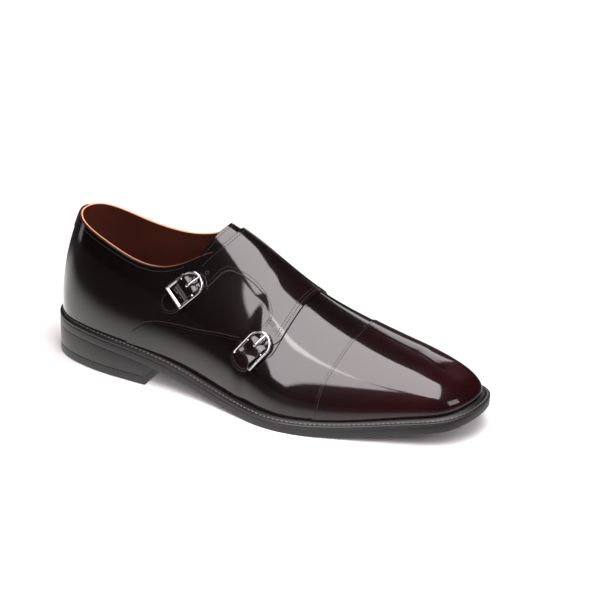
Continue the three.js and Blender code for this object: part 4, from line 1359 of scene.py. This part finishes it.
def frame_parts():
    rings = [np.column_stack([frame_path(inset), np.full(len(frame_path(inset)), z)])
             for inset, z in FRAME_PROFILE]
    ring = swept(rings)
    reach = BUCKLE_WIDTH / 2 - 0.9
    bar = tube([(0, y, 0.75) for y in np.linspace(-reach, reach, 9)], [0.75] * 9)
    return join(ring, bar)


def pin_parts():
    strap_top = RISE_MIDDLE_BAR + AIR + STRAP_THICKNESS - BUCKLE_LIFT
    route = curve([(-0.6, 0.9), (-1.0, strap_top * 0.6), (-2.2, strap_top + 0.9), (-5.0, strap_top + 1.05),
                   (-9.0, BUCKLE_HEIGHT + 1.15), (-11.6, BUCKLE_HEIGHT + 0.75),
                   (-13.0, BUCKLE_HEIGHT + 0.5)], 0.6)
    radii = np.interp(np.linspace(0, 1, len(route)), [0, 0.25, 0.8, 0.97, 1], [0.85, 1.0, 0.8, 0.62, 0.3])
    rod = tube([(a, 0.0, z) for a, z in route], radii)
    loop = tube([(1.15 * math.cos(a), 0.0, 0.75 + 1.15 * math.sin(a))
                 for a in np.linspace(math.radians(140), math.radians(440), 20)], [0.55] * 20)
    return join(rod, loop)


for name, strap in straps.items():
    placed = np.array(strap.matrix())
    for part, parts in (("frame", frame_parts()), ("pin", pin_parts())):
        points = parts[0] @ placed[:3, :3].T + placed[:3, 3]
        metal = tidy_normals(new_object(f"buckle_{part}_{name}_polished", points, parts[1], [buckle_steel]))
        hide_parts(f"buckle_{part}_{name}")

# %% Punched holes
def holes(name, places):
    """Small dark cups with a pressed rim, one for each spare hole."""
    parts = []
    for u, t, height in places:
        middle, up = laid(u, t, height), last_normal(u, t)
        side = unit(np.cross(up, [1.0, 0.2, 0.0]))
        other = np.cross(up, side)
        angle = np.linspace(0, 2 * math.pi, 16, endpoint=False)
        around = np.cos(angle)[:, None] * side + np.sin(angle)[:, None] * other
        cup = ((1.3, -0.12), (1.15, 0.05), (0.95, 0.04), (0.8, -0.1), (0.2, -0.16))
        rings = [middle + around * radius + up * rise for radius, rise in cup]
        parts.append(swept(rings, close_ends=True))
    made = tidy_normals(new_object(name, *join(*parts), [edge_dye]))


spare = []
for strap, along_mm in ((upper_strap, -BUCKLE_LENGTH / 2 - 3.4), (lower_strap, -BUCKLE_LENGTH / 2 - 3.6)):
    x, girth = strap.point(along_mm, 0)
    u, t = to_last(x, girth)
    spare.append((float(u), float(t), float(panel_top(np.array([x]), np.array([girth]))[0])))
holes("spare_strap_holes", spare)

# %% [markdown]
# ## Floor, light and camera
# Glossy leather shows what stands round it more than its own colour. A white floor gives the pale
# band above the welt, a dark room gives the black, and a few large soft boxes give the long light
# shapes along the quarter, the vamp and the toe.

# %% Floor
# The table is evenly white to the eye; its colour is greyer near the shoe, painted shade that evens
# out the stronger light from the overhead box there. What the leather mirrors is a white patch that
# fades into the dark room within a hand's width, because the real table is lit only round the shoe. So the
# table itself is left out of the mirror images, and a second sheet just under it, seen only in
# mirror images, carries the fading patch.
def make_sheet(name, half_size, height):
    mesh = bpy.data.meshes.new(name)
    h = half_size
    mesh.from_pydata([(-h, -h, height), (h, -h, height), (h, h, height), (-h, h, height)], [], [(0, 1, 2, 3)])
    sheet = bpy.data.objects.new(name, mesh)
    bpy.context.scene.collection.objects.link(sheet)
    return sheet


def white_table():
    sheet = make_sheet("floor", 3.0, 0.0)
    material, tree, shader, where = start("white_table_painted_shade_near_shoe", Roughness=0.8)
    away = add(tree, "ShaderNodeVectorMath", {0: where}, operation="LENGTH")
    spread = add(tree, "ShaderNodeMapRange", {"Value": away.outputs["Value"], "From Min": 0.1,
                                             "From Max": 0.9})
    # Greyer near the middle, white further out: painted shade against the pool of light under the big box.
    mixed = add(tree, "ShaderNodeMix", {"Factor": spread.outputs["Result"], 6: linear("#cacaca"),
                                       7: linear("#fafafa")}, data_type="RGBA")
    tree.links.new(mixed.outputs[2], shader.inputs["Base Color"])
    sheet.data.materials.append(material)
    sheet.visible_glossy = False


def mirrored_table():
    sheet = make_sheet("floor_as_mirrored", 1.0, -0.0012)
    material, tree, shader, where = start("lit_patch_of_table", Roughness=0.8, Emission_Strength=1.0)
    shader.inputs["Base Color"].default_value = linear("#000000")
    squeeze = add(tree, "ShaderNodeMapping", {"Vector": where, "Location": (0.15, 0.0, 0.0),
                                                  "Scale": (1 / 0.60, 1 / 0.20, 0.0)})
    away = add(tree, "ShaderNodeVectorMath", {0: squeeze.outputs["Vector"]}, operation="LENGTH")
    patch = add(tree, "ShaderNodeMapRange", {"Value": away.outputs["Value"], "From Min": 0.25,
                                            "From Max": 0.85, "To Min": 1.75, "To Max": 0.05},
                interpolation_type="SMOOTHERSTEP")
    tree.links.new(patch.outputs["Result"], shader.inputs["Emission Strength"])
    shader.inputs["Emission Color"].default_value = linear("#fffcfa")
    sheet.data.materials.append(material)
    sheet.visible_camera = sheet.visible_diffuse = sheet.visible_shadow = False


white_table()
mirrored_table()

# %% Camera
CAMERA_AZIMUTH, CAMERA_ELEVATION, CAMERA_ROLL = 24.64, 25.78, 1.21
CAMERA_DISTANCE, LENS = 1340.9, 123.5
AIM = np.array([3.6, 3.4, 40.0])


def make_camera():
    a, e, roll = (math.radians(v) for v in (CAMERA_AZIMUTH, CAMERA_ELEVATION, CAMERA_ROLL))
    back = np.array([math.sin(a) * math.cos(e), -math.cos(a) * math.cos(e), math.sin(e)])
    level_right = np.array([math.cos(a), math.sin(a), 0.0])
    level_up = np.cross(back, level_right)
    right = level_right * math.cos(roll) + level_up * math.sin(roll)
    up = np.cross(back, right)
    data = bpy.data.cameras.new("camera")
    data.lens, data.sensor_width = LENS, 36.0
    data.shift_x, data.shift_y = 0.047, 0.051
    camera = bpy.data.objects.new("camera", data)
    bpy.context.scene.collection.objects.link(camera)
    camera.matrix_world = Matrix.Translation(Vector((AIM + back * CAMERA_DISTANCE) * MM)) @ Matrix(
        np.column_stack([right, up, back]).tolist()).to_4x4()
    bpy.context.scene.camera = camera


make_camera()

# %% Soft boxes
# name: place in mm, point it faces, turn about its own axis in degrees, width, height, brightness
# The brightness is the light the box shows in a mirror, where a sheet of white paper on the table
# shows about one and a half. The big box hangs over the toe and runs out towards the outer side,
# and the low strip beside the ball carries its reflection down the vamp.
SOFT_BOXES = {
    "large_box_overhead": ((250, -300, 1100), (250, -300, 0), 20, 750, 1200, 8.4),
    "strip_box_in_front": ((-40, -380, 140), (-40, -380, 0), 70, 600, 150, 8.0),
    "wall_behind": ((-200, 1350, 600), (0, 0, 60), 0, 500, 550, 2.2),
    "window_ahead": ((1200, -250, 550), (0, 0, 40), 0, 600, 450, 4.0),
    "wall_at_the_heel": ((-1300, -250, 300), (0, 0, 60), 0, 250, 700, 1.6),
}


def make_light(name, place, aim, turn, width, height, brightness):
    data = bpy.data.lights.new(name, "AREA")
    data.shape, data.size, data.size_y = "RECTANGLE", width * MM, height * MM
    data.energy = brightness * math.pi * width * height * MM * MM
    data.color = (1.0, 0.935, 0.95)
    light = bpy.data.objects.new(name, data)
    bpy.context.scene.collection.objects.link(light)
    way = Vector(aim) - Vector(place)
    facing = way.to_track_quat("-Z", "Y").to_matrix().to_4x4()
    turned = Matrix.Rotation(math.radians(turn), 4, "Z")
    light.matrix_world = Matrix.Translation(Vector(place) * MM) @ facing @ turned


for name, values in SOFT_BOXES.items():
    make_light(name, *values)
# A wide even light over the table, kept out of the mirror images like the table.
make_light("even_ceiling", (300, 800, 2600), (300, 800, 0), 0, 4200, 4200, 1.5)
make_light("fill_from_the_right", (1300, 500, 900), (0, 0, 0), 0, 700, 700, 9.0)
for name in ("even_ceiling", "fill_from_the_right"):
    bpy.data.objects[name].visible_glossy = False
world = bpy.data.worlds.new("dim_room")
bpy.context.scene.world = world
world.use_nodes = True
world.node_tree.nodes["Background"].inputs["Color"].default_value = linear("#161618")
world.node_tree.nodes["Background"].inputs["Strength"].default_value = 1.0
bpy.context.scene.view_settings.view_transform = "Standard"
